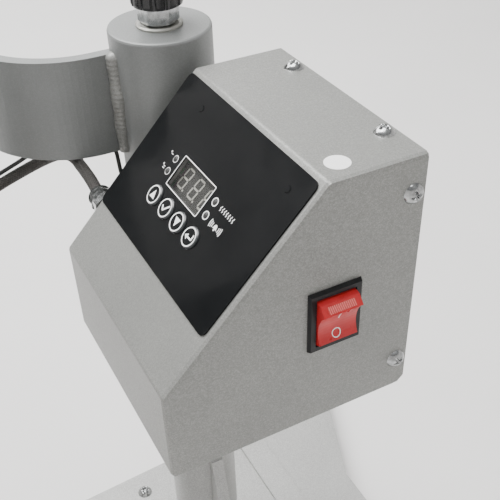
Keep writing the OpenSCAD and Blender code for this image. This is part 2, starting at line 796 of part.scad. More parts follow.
module form_base() {
    color(grey_paint) box_from([-platen_w / 2, head_y - platen_d / 2 + 2, form_foot - form_base_t],
        [platen_w / 2, head_y + platen_d / 2 - 2, form_foot]);
}

module stand_stem() {
    color(zinc) translate([0, head_y, 0]) {
        translate([0, 0, base_t + 60]) cylinder(r = stem_r, h = stem_top - base_t - 60);
        translate([0, 0, stem_top]) cylinder(r = 32, h = stem_flange_t);
    }
}

module stand_column() {
    boss_r = 9;
    boss_len = 12;
    color(grey_paint) translate([0, head_y, 0]) difference() {
        union() {
            translate([0, 0, base_t]) cylinder(r = column_r, h = column_h);
            translate([column_r - 4, 0, clamp_z]) rotate([0, 90, 0]) cylinder(r = boss_r, h = boss_len + 4);
            translate([0, 0, base_t]) cylinder(r1 = column_r + 5, r2 = column_r, h = 5);
        }
        translate([0, 0, base_t - over]) cylinder(r = stem_r + 0.1, h = column_h + 2 * over);
        translate([0, 0, clamp_z]) rotate([0, 90, 0])
            cylinder(r = 5 + pin_fit, h = column_r + boss_len + over);
    }
}

module stand_knob() {
    lobe_r = 7;
    lobe_out = 12;
    knob_t = 14;
    color(dark_plastic) translate([0, head_y, clamp_z]) rotate([0, 90, 0]) {
        translate([0, 0, stem_r + 0.3]) cylinder(r = 5, h = column_r + 18 - stem_r);
        translate([0, 0, column_r + 15]) cylinder(r = 9, h = 5);
        translate([0, 0, column_r + 19]) {
            cylinder(r = 12, h = knob_t);
            for (a = [0:72:359]) rotate(a) translate([lobe_out, 0, 0])
                cylinder(r = lobe_r, h = knob_t, $fn = 32);
        }
    }
}

// Control box

box_x0 = sleeve_r + box_gap;
box_x1 = box_x0 + box_w;
box_y1 = post_y + box_rear;
box_y0 = box_y1 - box_d;
box_top_y = box_y1 - box_top_d;
box_z1 = box_z + box_h;
front_z = box_z + box_front_h;
slant_deg = atan2(box_z1 - front_z, box_top_y - box_y0);
past = 5;
side_shape = [[box_y0, box_z - past], [box_y1 + past, box_z - past], [box_y1 + past, box_z1],
    [box_top_y, box_z1], [box_y0, front_z]];
bottom_plate_t = 1.5;

// Places children with x across the box, y up the slant and z out of it
module on_slant() {
    translate([box_x0, box_y0, front_z]) rotate([slant_deg, 0, 0]) children();
}

module folded_body() {
    intersection() {
        hull() for (k = [0, 45, 90]) along_x(box_x0 + fold_r * (1 - sin(k)),
            box_w - 2 * fold_r * (1 - sin(k)))
            polygon(rounded(moved_in(side_shape, fold_r * (1 - cos(k))),
                fold_r - fold_r * (1 - cos(k)) + 0.3));
        box_from([box_x0 - over, box_y0 - over, box_z], [box_x1 + over, box_y1, box_z1 + over]);
    }
}

// Places on the slant, measured across and up from its lower left corner
display_low = [35.9, 57.8];
display_high = [65.2, 72.2];
button_y = 50.5;
button_x = [34.5, 46.9, 58.9, 71.2];
lamp_places = [[31.1, 68.1], [31.3, 61.8], [70.2, 68.0], [70.4, 61.4]];
lamp_d = 3;
panel_low = [1.3, 28.5];
panel_high = [111.6, 100.9];
panel_t = 0.8;
rocker_y = box_y1 - 39.8;
rocker_z = box_z + 56.2;
body_w = bezel_w - 3.5;
body_h = bezel_h - 3;
gland_y = box_y1 - 93;
gland_z = box_z + 59.8;
lead_y = box_y1 - 72;
lead_z = box_z + 28;
flange_screw_y = box_y1 - 5.5;
side_screw_z = [box_z + 15.8, box_z + 102.9];
top_screw_x = [box_x0 + 23.4, box_x1 - 21.6];
bracket_screw_y = [post_y - 13, post_y + 13];
bracket_screw_z = [box_z + 28, box_z + 82];
bottom_screw_x = [box_x0 + 8, box_x1 - 8];
bottom_screw_y = [box_y0 + 11.8, box_y1 - 16];
screw_shank_d = 4;
screw_hole_d = 4.4;
mains_place = [box_x0 + 30, box_z + 30];

module slant_cuts(d) {
    on_slant() translate([0, 0, -d]) {
        translate([display_low[0], display_low[1], 0])
            cube([display_high[0] - display_low[0], display_high[1] - display_low[1], d + 5]);
        for (x = button_x) translate([x, button_y, 0]) cylinder(d = button_d + 0.4, h = d + 5);
        for (p = lamp_places) translate([p[0], p[1], 0]) cylinder(d = lamp_d + 0.2, h = d + 5);
    }
}

module box_housing() {
    tab = 14;
    shift = sheet_t;
    cavity = [[box_y0 + shift, box_z - past], [box_y1 + past, box_z - past], [box_y1 + past, box_z1 - shift],
        moved_in(side_shape, shift)[3], moved_in(side_shape, shift)[4]];
    color(grey_paint) difference() {
        union() {
            difference() {
                folded_body();
                along_x(box_x0 + sheet_t, box_w - 2 * sheet_t) polygon(cavity);
            }
            for (x = bottom_screw_x) for (y = bottom_screw_y) {
                side = x < box_x0 + box_w / 2 ? box_x0 + 1 : box_x1 - 1 - tab;
                translate([side, y - tab / 2, box_z]) cube([tab, tab, 1.5]);
            }
        }
        slant_cuts(6);
        translate([box_x1 - 6, rocker_y - body_w / 2 - 0.1, rocker_z - body_h / 2 - 0.1])
            cube([10, body_w + 0.2, body_h + 0.2]);
        translate([box_x0 - 5, gland_y, gland_z]) rotate([0, 90, 0]) cylinder(r = gland_hole_r, h = 10);
        translate([box_x0 - 5, lead_y, lead_z]) rotate([0, 90, 0]) cylinder(r = grommet_r, h = 10);
        for (y = bracket_screw_y) for (z = bracket_screw_z)
            translate([box_x0 - 5, y, z]) rotate([0, 90, 0]) cylinder(d = screw_hole_d, h = 10);
        for (z = side_screw_z) translate([box_x0 - 5, flange_screw_y, z]) rotate([0, 90, 0])
            cylinder(d = screw_hole_d, h = box_w + 10);
        for (x = top_screw_x) translate([x, flange_screw_y, box_z1 - 6]) cylinder(d = screw_hole_d, h = 10);
        for (x = bottom_screw_x) for (y = bottom_screw_y) translate([x, y, box_z - 3])
            cylinder(d = screw_hole_d, h = 8);
        along_x(box_x0 - over, box_w + 2 * over)
            polygon([[box_y1 - 4, box_z - over], [box_y1 + over, box_z - over], [box_y1 + over, box_z + 4]]);
    }
}

cover_fit = 0.2;

module rear_cover() {
    flange = 12;
    low = [box_x0 + sheet_t + cover_fit, box_y1 - flange, box_z + 2.5];
    high = [box_x1 - sheet_t - cover_fit, box_y1 - 0.3, box_z1 - sheet_t - cover_fit];
    color(grey_paint) difference() {
        box_from(low, high);
        box_from([low[0] + sheet_t, low[1] - over, low[2] - over], [high[0] - sheet_t, high[1] - sheet_t,
            high[2] - sheet_t]);
        for (z = side_screw_z) translate([box_x0, flange_screw_y, z]) rotate([0, 90, 0])
            cylinder(d = screw_shank_d + 0.1, h = box_w);
        for (x = top_screw_x) translate([x, flange_screw_y, box_z1 - 8])
            cylinder(d = screw_shank_d + 0.1, h = 8);
        for (i = [0:6]) translate([box_x0 + 62, box_y1 - 5, box_z + 50 + i * 6]) cube([34, 10, 2.4]);
        translate([mains_place[0], box_y1 + 5, mains_place[1]]) rotate([90, 0, 0]) cylinder(r = 7.1, h = 10);
    }
}

module bottom_cover() {
    low = [box_x0 + 1.2, box_y0 + 1.2, box_z - 0.2 - bottom_plate_t];
    high = [box_x1 - 1.2, box_y1 - 4, box_z - 0.2];
    color(grey_paint) difference() {
        box_from(low, high);
        for (x = bottom_screw_x) for (y = bottom_screw_y) translate([x, y, low[2] - over])
            cylinder(d = screw_hole_d, h = 5);
    }
}

module housing_screws() {
    head_h = 3;
    shank = 8;
    color(zinc) {
        for (x = top_screw_x) translate([x, flange_screw_y, box_z1])
            pan_screw(screw_head_d, head_h, screw_shank_d, shank);
        for (z = side_screw_z) {
            translate([box_x1, flange_screw_y, z]) rotate([0, 90, 0])
                pan_screw(screw_head_d, head_h, screw_shank_d, shank);
            translate([box_x0, flange_screw_y, z]) rotate([0, -90, 0])
                pan_screw(screw_head_d, head_h, screw_shank_d, shank);
        }
        for (x = bottom_screw_x) for (y = bottom_screw_y) translate([x, y, box_z - 0.2 - bottom_plate_t])
            rotate([180, 0, 0]) pan_screw(screw_head_d, head_h, screw_shank_d, shank);
        for (y = bracket_screw_y) for (z = bracket_screw_z)
            translate([box_x0 + sheet_t, y, z]) rotate([0, 90, 0])
            pan_screw(screw_head_d, head_h, screw_shank_d, sheet_t + bracket_plate_t);
    }
}

bracket_plate_t = 4;

module box_bracket() {
    tab_t = 6;
    plate_x = box_x0 - bracket_plate_t - seat_gap;
    color(grey_paint) difference() {
        union() {
            box_from([plate_x, post_y - 20, box_z + 20], [box_x0 - seat_gap, post_y + 20, box_z + 90]);
            for (z = [box_z + 40, box_z + 68])
                box_from([sleeve_r - 6, post_y - 16, z], [plate_x + 1, post_y + 16, z + tab_t]);
        }
        translate([0, post_y, box_z]) cylinder(r = sleeve_r + seat_gap, h = box_h);
        for (y = bracket_screw_y) for (z = bracket_screw_z)
            translate([plate_x - over, y, z]) rotate([0, 90, 0]) cylinder(d = screw_shank_d + 0.1, h = 10);
    }
}

module overlay_panel() {
    low = panel_low;
    high = panel_high;
    color(dark_plastic) difference() {
        on_slant() {
            translate([0, 0, seat_gap]) linear_extrude(panel_t - seat_gap)
                polygon(rounded([low, [high[0], low[1]], high, [low[0], high[1]]], 3));
            for (x = [24.8, 99.8]) translate([x, 91.6, seat_gap])
                cylinder(r1 = 2, r2 = 1.4, h = panel_t + 0.4, $fn = 32);
        }
        slant_cuts(2);
    }
}

module display_window() {
    fit = 0.1;
    color([0.35, 0.35, 0.36]) on_slant() translate([display_low[0] + fit, display_low[1] + fit, -0.6])
        cube([display_high[0] - display_low[0] - 2 * fit, display_high[1] - display_low[1] - 2 * fit,
            panel_t + 0.5]);
}

board_depth = 14;
board_t = 1.6;
display_depth = 3.8;
stem_depth = 6;
board_low = [12, 34];
board_high = [100, 96];

module control_board() {
    root = -board_depth + board_t - 0.1;
    switch_gap = 0.3;
    color([0.1, 0.4, 0.2]) on_slant() {
        translate([board_low[0], board_low[1], -board_depth])
            cube([board_high[0] - board_low[0], board_high[1] - board_low[1], board_t]);
        for (x = button_x) translate([x - 3, button_y - 3, root])
            cube([6, 6, -stem_depth - switch_gap - button_travel - root]);
        translate([display_low[0] - 1, display_low[1] - 1, root])
            cube([display_high[0] - display_low[0] + 2, display_high[1] - display_low[1] + 2,
                -display_depth - root]);
    }
}

module board_standoffs() {
    color(zinc) on_slant() for (x = [board_low[0] + 5, board_high[0] - 5])
        for (y = [board_low[1] + 5, board_high[1] - 5])
        translate([x, y, -board_depth + board_t])
            cylinder(r = 3.2, h = board_depth - board_t - sheet_t, $fn = 6);
}

module indicator_lamps() {
    color([0.9, 0.9, 0.9]) on_slant() for (p = lamp_places) translate([p[0], p[1], -board_depth + board_t]) {
        cylinder(d = lamp_d, h = board_depth - board_t + panel_t);
        translate([0, 0, board_depth - board_t + panel_t]) scale([1, 1, 0.4]) sphere(d = lamp_d, $fn = 24);
    }
}

// One push button with its stem, down to its switch on the board
module push_button(i) {
    color(dark_plastic) on_slant() translate([button_x[i], button_y, 0]) {
        translate([0, 0, -0.9]) cylinder(d = button_d, h = panel_t + 1.5);
        translate([0, 0, -stem_depth]) cylinder(d = 4, h = stem_depth);
        translate([0, 0, panel_t + 0.6]) cylinder(d1 = button_d, d2 = button_d - 1.4, h = 0.5);
    }
}
module up_button() { push_button(0); }
module set_button() { push_button(1); }
module down_button() { push_button(2); }
module enter_button() { push_button(3); }

relay_low = [box_x0 + 40, box_y0 + 30, box_z];
relay_size = [45, 58, 28];
relay_notch_r = 5;

module power_relay() {
    color([0.2, 0.2, 0.22]) difference() {
        translate(relay_low) cube(relay_size);
        for (y = [0, relay_size[1]]) translate(relay_low + [relay_size[0] / 2, y, -over])
            cylinder(r = relay_notch_r, h = relay_size[2] + 2 * over);
    }
}

rocker_pin_r = 1.5;
bezel_t = 2;
bezel_wall = 1.3;
bezel_slope = 1.4;
rocker_axis_x = box_x1 - 1;

module rocker_bezel() {
    body_deep = 20;
    mouth_w = body_w - 2 * bezel_wall;
    mouth_h = body_h - 2 * bezel_wall;
    color(dark_plastic) translate([0, rocker_y, rocker_z]) difference() {
        union() {
            translate([box_x1, 0, 0]) rotate([0, 90, 0])
                linear_extrude(bezel_t, scale = [1 - bezel_slope / bezel_h, 1 - bezel_slope / bezel_w])
                    square([bezel_h, bezel_w], center = true);
            box_from([box_x1 - body_deep, -body_w / 2, -body_h / 2], [box_x1 + 0.1, body_w / 2, body_h / 2]);
        }
        box_from([box_x1 - body_deep + 4, -mouth_w / 2, -mouth_h / 2], [box_x1 + bezel_t + over,
            mouth_w / 2, mouth_h / 2]);
        translate([rocker_axis_x, body_w / 2 + over, 0]) rotate([90, 0, 0])
            cylinder(r = rocker_pin_r + pin_fit, h = body_w + 2 * over);
    }
}

rocker_w = body_w - 2 * bezel_wall - 0.6;
rocker_h = body_h - 2 * bezel_wall - 1.4;

module power_rocker() {
    crest = 7.2;
    crest_in = 3;
    ends = 3.4;
    middle = 4.2;
    half = rocker_h / 2;
    crest_z = half - crest_in;
    hollow_r = (crest_z * crest_z + (crest - middle) * (crest - middle)) / (2 * (crest - middle));
    sweep = asin(crest_z / hollow_r);
    color([0.8, 0.1, 0.08]) translate([rocker_axis_x, rocker_y, rocker_z]) rotate([0, rocker_deg / 2, 0]) {
        along_y(-rocker_w / 2, rocker_w) intersection() {
            polygon(concat([[-6, -4], [-3, -half], [ends, -half]],
                arc_points([middle + hollow_r, 0], hollow_r, 180 + sweep, 180 - sweep, 12),
                [[ends, half], [-3, half], [-6, 4]]));
            circle(r = norm([ends, half]) - 0.1);
        }
        translate([0, body_w / 2 - 0.1, 0]) rotate([90, 0, 0]) cylinder(r = rocker_pin_r, h = body_w - 0.2);
    }
}

// Glands and leads

gland_r = 7;
gland_len = 14;
gland_hole_r = cable_d / 2 + 0.9;
grommet_r = 2.6;

module gland_body() {
    cylinder(r = gland_r, h = 4, $fn = 6);
    cylinder(r = gland_r - 1.4, h = 8);
    translate([0, 0, 8]) cylinder(r1 = gland_r - 0.2, r2 = gland_r - 1.1, h = gland_len - 10, $fn = 6);
    translate([0, 0, gland_len - 2]) cylinder(r1 = gland_r - 1.1, r2 = cable_d / 2 + 0.8, h = 2);
}

module cable_gland() {
    color(zinc) {
        translate([box_x0 - seat_gap, gland_y, gland_z]) rotate([0, -90, 0]) difference() {
            gland_body();
            translate([0, 0, -over]) cylinder(d = cable_d + 0.6, h = gland_len + 2 * over);
        }
    }
}

// Places children on the rear face of the platen cover, where a lead ends, with +Z out of it
module at_lead_end(route) {
    last = route[len(route) - 1];
    translate([last[0], head_y + cover_d / 2, last[2]]) rotate([-90, 0, 0]) children();
}

module head_gland() {
    color(zinc) at_lead_end(cable_route) difference() {
        union() {
            gland_body();
            translate([0, 0, -cover_t - 1]) cylinder(r = gland_r - 2.1, h = cover_t + 2);
        }
        translate([0, 0, -cover_t - 2]) cylinder(d = cable_d + 0.6, h = gland_len + cover_t + 4);
    }
}

module mains_gland() {
    color(dark_plastic) translate([mains_place[0], box_y1 - 0.3, mains_place[1]])
        rotate([-90, 0, 0]) difference() {
        union() {
            cylinder(r = 10.5, h = 5, $fn = 6);
            cylinder(r = 8, h = 14);
            translate([0, 0, -8]) cylinder(r = 7, h = 9);
        }
        translate([0, 0, -9]) cylinder(r = 4, h = 24);
    }
}

module lead_grommet() {
    color(rubber_black) translate([box_x0 - 1, lead_y, lead_z]) rotate([0, 90, 0]) difference() {
        union() {
            cylinder(r = grommet_r + 1.5, h = 1);
            cylinder(r = grommet_r - 0.1, h = 1 + sheet_t);
        }
        translate([0, 0, -over]) cylinder(d = lead_d + 0.1, h = 6);
    }
}

// Middle lines of the leads, from the box to the heating head
cable_route = [[30, 22, 385.8], [23, 22, 385.8], [17, 22, 387], [10, 22, 388.3], [0, 22, 388.6],
    [-6, 22, 388.4], [-11.5, 21.8, 388.6], [-17, 20, 389], [-23, 16, 387.5], [-31, 9, 382], [-38, -1, 375],
    [-43, -13, 368], [-46, -26, 361], [-47, -39, 354], [-47, -51, 348], [-45, -63, 343], [-42, -74, 340],
    [-40, -84, 338], [-40, -92.7, 338]];
lead_route = [[34, 43, 354], [30, 43, 354], [25, 43, 355], [20, 43, 357], [15, 43, 360], [10, 43, 362],
    [5, 43, 364.5], [0, 43, 368], [-4.2, 43, 372], [-6.8, 43, 376.5], [-8.1, 43, 380.4], [-9, 43, 384],
    [-10.2, 42.8, 388], [-12.5, 41, 391.5], [-15, 37.5, 395.5], [-17, 32, 398], [-18.5, 27, 399],
    [-20.5, 22, 398], [-23, 17.5, 396], [-26, 14, 393.5], [-29, 11, 391], [-33, 5, 387], [-38, -2, 381],
    [-43, -13, 374], [-46, -26, 367], [-47, -39, 360], [-47, -51, 354], [-45, -63, 349], [-41, -74, 347],
    [-35, -84, 346], [-31, -93, 346], [-30, -102.7, 346]];

// Tube of radius r with the given sides along the points of a route
function route_dir(p, i) = unit(p[min(i + 1, len(p) - 1)] - p[max(i - 1, 0)]);
function ring_up(d) = abs(d[2]) > 0.95 ? [1, 0, 0] : [0, 0, 1];

module swept_tube(p, r, sides) {
    n = len(p);
    pts = [for (i = [0:n - 1]) let (d = route_dir(p, i), u = unit(cross(d, ring_up(d))), v = cross(u, d))
        for (k = [0:sides - 1]) p[i] + r * (cos(360 * k / sides) * u + sin(360 * k / sides) * v)];
    walls = [for (i = [0:n - 2]) for (k = [0:sides - 1])
        let (a = sides * i + k, b = sides * i + (k + 1) % sides)
        each [[a, b, a + sides], [b, b + sides, a + sides]]];
    caps = [for (k = [1:sides - 2])
        each [[0, k + 1, k], [sides * (n - 1), sides * (n - 1) + k, sides * (n - 1) + k + 1]]];
    polyhedron(pts, concat(walls, caps));
}

module heater_cable() {
    color([0.15, 0.15, 0.15]) swept_tube(cable_route, cable_d / 2, 12);
}

module sensor_lead() {
    color([0.05, 0.05, 0.05]) swept_tube(lead_route, lead_d / 2, 8);
}

base_plate();
cross_bar();
rubber_feet();
foot_screws();
pivot_post();
post_gussets();
stand_column();
stand_stem();
stand_knob();
form_base();
form_ribs();
cap_form();
silicone_pad();
thrust_pad();
height_screw();
lock_nut();
height_knob();
pivot_sleeve();
screw_washer();
arm_strap();
head_barrel();
shaft_bushings();
head_cheeks();
fulcrum_pin();
return_spring();
box_bracket();
box_housing();
rear_cover();
bottom_cover();
housing_screws();
overlay_panel();
display_window();
indicator_lamps();
control_board();
board_standoffs();
power_relay();
rocker_bezel();
cable_gland();
mains_gland();
heater_cable();
sensor_lead();
lead_grommet();
up_button();
set_button();
down_button();
enter_button();
power_rocker();
lever_plates();
crank_pin();
handle_rod();
handle_grip();
press_shaft();
shaft_head();
platen_bracket();
platen_studs();
platen_cover();
insulation_pad();
heating_element();
heating_platen();
head_gland();
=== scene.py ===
import bmesh
import bpy
import json
import math
from mathutils import Matrix, Vector


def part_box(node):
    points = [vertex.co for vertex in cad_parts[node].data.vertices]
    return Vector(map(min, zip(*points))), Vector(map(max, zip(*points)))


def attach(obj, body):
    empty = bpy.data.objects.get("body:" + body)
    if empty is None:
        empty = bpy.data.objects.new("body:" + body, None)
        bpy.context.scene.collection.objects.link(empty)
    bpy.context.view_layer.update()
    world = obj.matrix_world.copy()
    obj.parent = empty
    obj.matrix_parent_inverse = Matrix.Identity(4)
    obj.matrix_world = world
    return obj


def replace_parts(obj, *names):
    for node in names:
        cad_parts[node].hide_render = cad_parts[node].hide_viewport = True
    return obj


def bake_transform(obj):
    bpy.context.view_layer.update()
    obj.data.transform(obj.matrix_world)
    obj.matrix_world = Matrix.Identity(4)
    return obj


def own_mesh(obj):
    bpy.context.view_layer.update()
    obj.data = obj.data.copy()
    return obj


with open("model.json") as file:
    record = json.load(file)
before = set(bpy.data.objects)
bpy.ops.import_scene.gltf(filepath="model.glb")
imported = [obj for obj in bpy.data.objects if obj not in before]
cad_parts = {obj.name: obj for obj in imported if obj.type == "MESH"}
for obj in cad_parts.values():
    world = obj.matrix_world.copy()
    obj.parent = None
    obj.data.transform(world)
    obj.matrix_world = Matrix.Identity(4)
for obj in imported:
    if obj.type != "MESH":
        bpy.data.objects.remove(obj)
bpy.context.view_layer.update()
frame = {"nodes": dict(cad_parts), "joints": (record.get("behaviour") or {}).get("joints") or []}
NODES = frame["nodes"]
MM = 0.001


def box_mm(node):
    """Lowest and highest corners of a node at rest, in millimetres."""
    return [[round(v / MM, 2) for v in corner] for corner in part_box(node)]


def middle_y(node):
    low, high = box_mm(node)
    return (low[1] + high[1]) / 2


# Sizes and places of the solids that pieces of this scene lie on, in millimetres
BOX_X, BOX_Y, BOX_Z = zip(*box_mm("box_housing"))
SHEET = 1.5
SLANT_Z, SLANT_RUN = 371.4, 72.3
POST_Y, HEAD_Y = middle_y("pivot_sleeve"), middle_y("head_barrel")
SLEEVE_R = box_mm("pivot_sleeve")[1][0]
STRAP_HALF = 4
BASE_TOP = box_mm("base_plate")[1][2]
FLOOR_Z = box_mm("rubber_feet")[0][2]

# Camera, worked out from the photograph's vanishing lines
CAMERA_AT = Vector((0.3605, -0.0661, 0.6006))
RIGHT = Vector((0.4753, 0.8796, -0.0204))
BACK = Vector((0.6907, -0.3587, 0.6279))


def add_camera():
    data = bpy.data.cameras.new("photo_camera")
    data.sensor_width = 36.0
    data.lens = 59.38
    data.shift_x = -0.0243
    data.shift_y = 0.0742
    data.clip_start = 0.01
    data.clip_end = 20.0
    cam = bpy.data.objects.new("photo_camera", data)
    bpy.context.scene.collection.objects.link(cam)
    back = BACK.normalized()
    right = (RIGHT - back * RIGHT.dot(back)).normalized()
    up = back.cross(right)
    cam.matrix_world = Matrix((
        (right.x, up.x, back.x, CAMERA_AT.x),
        (right.y, up.y, back.y, CAMERA_AT.y),
        (right.z, up.z, back.z, CAMERA_AT.z),
        (0.0, 0.0, 0.0, 1.0)))
    bpy.context.scene.camera = cam


add_camera()


# Materials

class Nodes:
    """Short names for building one material's nodes."""

    def __init__(self, name):
        self.mat = bpy.data.materials.new(name)
        self.mat.use_nodes = True
        self.tree = self.mat.node_tree
        self.shader = self.tree.nodes["Principled BSDF"]
        self.coords = self.tree.nodes.new("ShaderNodeTexCoord").outputs["Object"]
        self.normal = None

    def new(self, kind, **values):
        node = self.tree.nodes.new(kind)
        for key, value in values.items():
            setattr(node, key, value)
        return node

    def link(self, a, b):
        self.tree.links.new(a, b)

    def noise(self, scale, detail=4.0, coords=None):
        n = self.new("ShaderNodeTexNoise")
        n.inputs["Scale"].default_value = scale
        n.inputs["Detail"].default_value = detail
        self.link(coords or self.coords, n.inputs["Vector"])
        return n.outputs["Fac"]

    def stretched(self, scale, turn=(0.0, 0.0, 0.0), coords=None):
        """Coordinates stretched along an axis."""
        n = self.new("ShaderNodeMapping")
        n.inputs["Rotation"].default_value = turn
        n.inputs["Scale"].default_value = scale
        self.link(coords or self.coords, n.inputs["Vector"])
        return n.outputs["Vector"]

    def cells(self, scale):
        n = self.new("ShaderNodeTexVoronoi")
        n.inputs["Scale"].default_value = scale
        self.link(self.coords, n.inputs["Vector"])
        return n

    def stripes(self, scale, coords=None):
        """Slanting waves."""
        n = self.new("ShaderNodeTexWave", bands_direction="DIAGONAL")
        n.inputs["Scale"].default_value = scale
        self.link(coords or self.coords, n.inputs["Vector"])
        return n.outputs["Fac"]

    def drift(self, scale, dark, light, detail=4.0):
        """A colour that drifts between two tones."""
        return self.ramp(self.noise(scale, detail), [(0.3, dark), (0.7, light)])

    def ramp(self, fac, stops):
        n = self.new("ShaderNodeValToRGB")
        while len(n.color_ramp.elements) < len(stops):
            n.color_ramp.elements.new(0.5)
        for element, (at, colour) in zip(n.color_ramp.elements, stops):
            element.position = at
            element.color = (*colour, 1.0)
        self.link(fac, n.inputs["Fac"])
        return n.outputs["Color"]

    def span(self, fac, low, high, start=0.3, end=0.7):
        n = self.new("ShaderNodeMapRange")
        for key, value in (("From Min", start), ("From Max", end), ("To Min", low), ("To Max", high)):
            n.inputs[key].default_value = value
        self.link(fac, n.inputs["Value"])
        return n.outputs["Result"]

    def mix(self, fac, a, b, blend="MIX"):
        n = self.new("ShaderNodeMix", data_type="RGBA", blend_type=blend)
        n.inputs["Factor"].default_value = fac
        self.link(a, n.inputs["A"])
        self.link(b, n.inputs["B"])
        return n.outputs["Result"]

    def bump(self, height, strength, distance):
        n = self.new("ShaderNodeBump")
        n.inputs["Strength"].default_value = strength
        n.inputs["Distance"].default_value = distance
        self.link(height, n.inputs["Height"])
        if self.normal is not None:
            self.link(self.normal, n.inputs["Normal"])
        self.normal = n.outputs["Normal"]
        self.link(self.normal, self.shader.inputs["Normal"])

    def put(self, name, value):
        socket = self.shader.inputs[name]
        if hasattr(value, "links"):
            self.link(value, socket)
        else:
            socket.default_value = value


def finish_of(name, dark, light, scale, rough, metal=0.0, bump=0.0, grain=2500.0, distance=0.0001, **more):
    """A plain finish: colour that drifts between two tones, uneven gloss and a fine relief."""
    m = Nodes(name)
    m.put("Base Color", m.drift(scale, dark, light))
    m.put("Roughness", m.span(m.noise(scale * 2.3, 6.0), *rough))
    m.put("Metallic", metal)
    if bump:
        m.bump(m.noise(grain, 3.0), bump, distance)
    for key, value in more.items():
        m.put(key.replace("_", " ").title().replace("Ior", "IOR"), value)
    return m.mat


def powder_coat(name, dark, light, sparkle=1.0):
    """Grey powder coat with fine metal flakes and a slight orange peel."""
    m = Nodes(name)
    tone = m.drift(18.0, dark, light, 5.0)
    flakes = m.cells(2300.0)
    dull, bright = 1.0 - 0.16 * sparkle, 1.0 + 0.3 * sparkle
    tints = [(at, (tint,) * 3) for at, tint in ((0.2, dull), (0.55, 1.0), (0.85, bright))]
    speck = m.ramp(flakes.outputs["Color"], tints)
    m.put("Base Color", m.mix(1.0, tone, speck, "MULTIPLY"))
    m.put("Metallic", m.span(flakes.outputs["Color"], 0.15, 0.15 + 0.45 * sparkle, 0.45, 0.9))
    m.put("Roughness", m.span(m.noise(1500.0, 3.0), 0.36, 0.5))
    m.bump(m.noise(1400.0, 2.0), 0.12 * sparkle, 0.0001)
    m.bump(flakes.outputs["Distance"], 0.08 * sparkle, 0.00005)
    return m.mat


def gloss_film(name):
    """Glossy black film with a slight waviness and a few hairline scratches."""
    m = Nodes(name)
    m.put("Base Color", m.drift(25.0, (0.0045, 0.005, 0.0055), (0.008, 0.0085, 0.009)))
    m.put("Roughness", m.span(m.noise(60.0, 6.0), 0.09, 0.2))
    m.put("Specular IOR Level", 0.22)
    hairs = m.noise(55.0, 2.0, m.stretched((1.0, 14.0, 14.0), (0.4, 0.2, 0.9)))
    scratches = m.ramp(hairs, [(0.70, (0.0, 0.0, 0.0)), (0.74, (1.0, 1.0, 1.0))])
    m.bump(m.noise(120.0), 0.04, 0.0002)
    m.bump(scratches, 0.12, 0.00005)
    return m.mat


def braided(name, dark, light, strands):
    """Woven sleeve over a tube whose UV runs once round it, with strands crossing both ways."""
    m = Nodes(name)
    uv = m.new("ShaderNodeUVMap").outputs["UV"]
    weave = m.new("ShaderNodeMath", operation="MAXIMUM")
    for flip, socket in zip((1.0, -1.0), weave.inputs):
        m.link(m.stripes(strands * math.pi / 5, m.stretched((flip, 1.0, 1.0), coords=uv)), socket)
    tone = m.ramp(weave.outputs["Value"], [(0.2, dark), (0.9, light)])
    m.put("Base Color", m.mix(0.35, tone, m.drift(700.0, dark, light)))
    m.put("Roughness", m.span(m.noise(900.0), 0.55, 0.75))
    m.bump(weave.outputs["Value"], 0.8, 0.0004)
    return m.mat


def ridges_with_painted_light(name, dark, light, pitch):
    """Plastic with fine slanting ridges, with painted shade in the grooves and a painted highlight on the
    crests.
    """
    m = Nodes(name)
    ridges = m.stripes(math.pi / 5 / pitch)
    # The ridges' colour runs from painted shade in the grooves to a painted highlight on the crests.
    m.put("Base Color", m.ramp(ridges, [(0.1, dark), (0.9, light)]))
    m.put("Roughness", m.span(m.noise(400.0), 0.25, 0.4))
    m.bump(ridges, 0.7, 0.0003)
    return m.mat


def brushed(name, dark, light, rough):
    """Bare metal with fine drawn lines along Z."""
    m = Nodes(name)
    lines = m.noise(900.0, 4.0, m.stretched((1.0, 1.0, 0.05)))
    m.put("Base Color", m.mix(0.35, m.drift(60.0, dark, light), m.ramp(lines, [(0.35, dark), (0.65, light)])))
    m.put("Roughness", m.span(lines, *rough))
    m.put("Metallic", 1.0)
    m.bump(lines, 0.08, 0.00005)
    return m.mat


PAINT = powder_coat("grey_powder_coat", (0.212, 0.214, 0.204), (0.24, 0.242, 0.23))
# Grey paint with fewer flakes for the arm; its darker, bluer colour is painted shade with a cool tint.
ARM_PAINT_PAINTED_SHADE = powder_coat("satin_grey_paint_painted_shade", (0.188, 0.195, 0.193), (0.214, 0.222, 0.218), 0.35)
BASE_PAINT = powder_coat("light_grey_powder_coat", (0.33, 0.33, 0.32), (0.38, 0.38, 0.37))
# Zinc plate: the dark patches in its colour are painted reflection of a darker surrounding.
ZINC_PAINTED_REFLECTIONS = finish_of("zinc_plate_painted_reflections", (0.25, 0.255, 0.255), (0.5, 0.51, 0.51), 420.0,
                 (0.12, 0.24), metal=1.0, bump=0.05, grain=1200.0)
DULL_ZINC = finish_of("dull_zinc", (0.33, 0.33, 0.30), (0.43, 0.43, 0.40), 220.0,
                      (0.4, 0.55), metal=0.8, bump=0.1, grain=1500.0)
STEEL = brushed("ground_steel", (0.42, 0.42, 0.43), (0.62, 0.62, 0.63), (0.22, 0.38))
SPRING = brushed("spring_steel", (0.25, 0.25, 0.27), (0.45, 0.45, 0.47), (0.25, 0.4))
BRONZE = finish_of("sintered_bronze", (0.42, 0.26, 0.1), (0.58, 0.38, 0.16), 300.0,
                   (0.35, 0.55), metal=1.0, bump=0.3, grain=4000.0)
BLACK = finish_of("black_plastic", (0.006, 0.006, 0.007), (0.012, 0.012, 0.013), 90.0,
                  (0.3, 0.45), bump=0.08, grain=3000.0, specular_ior_level=0.25)
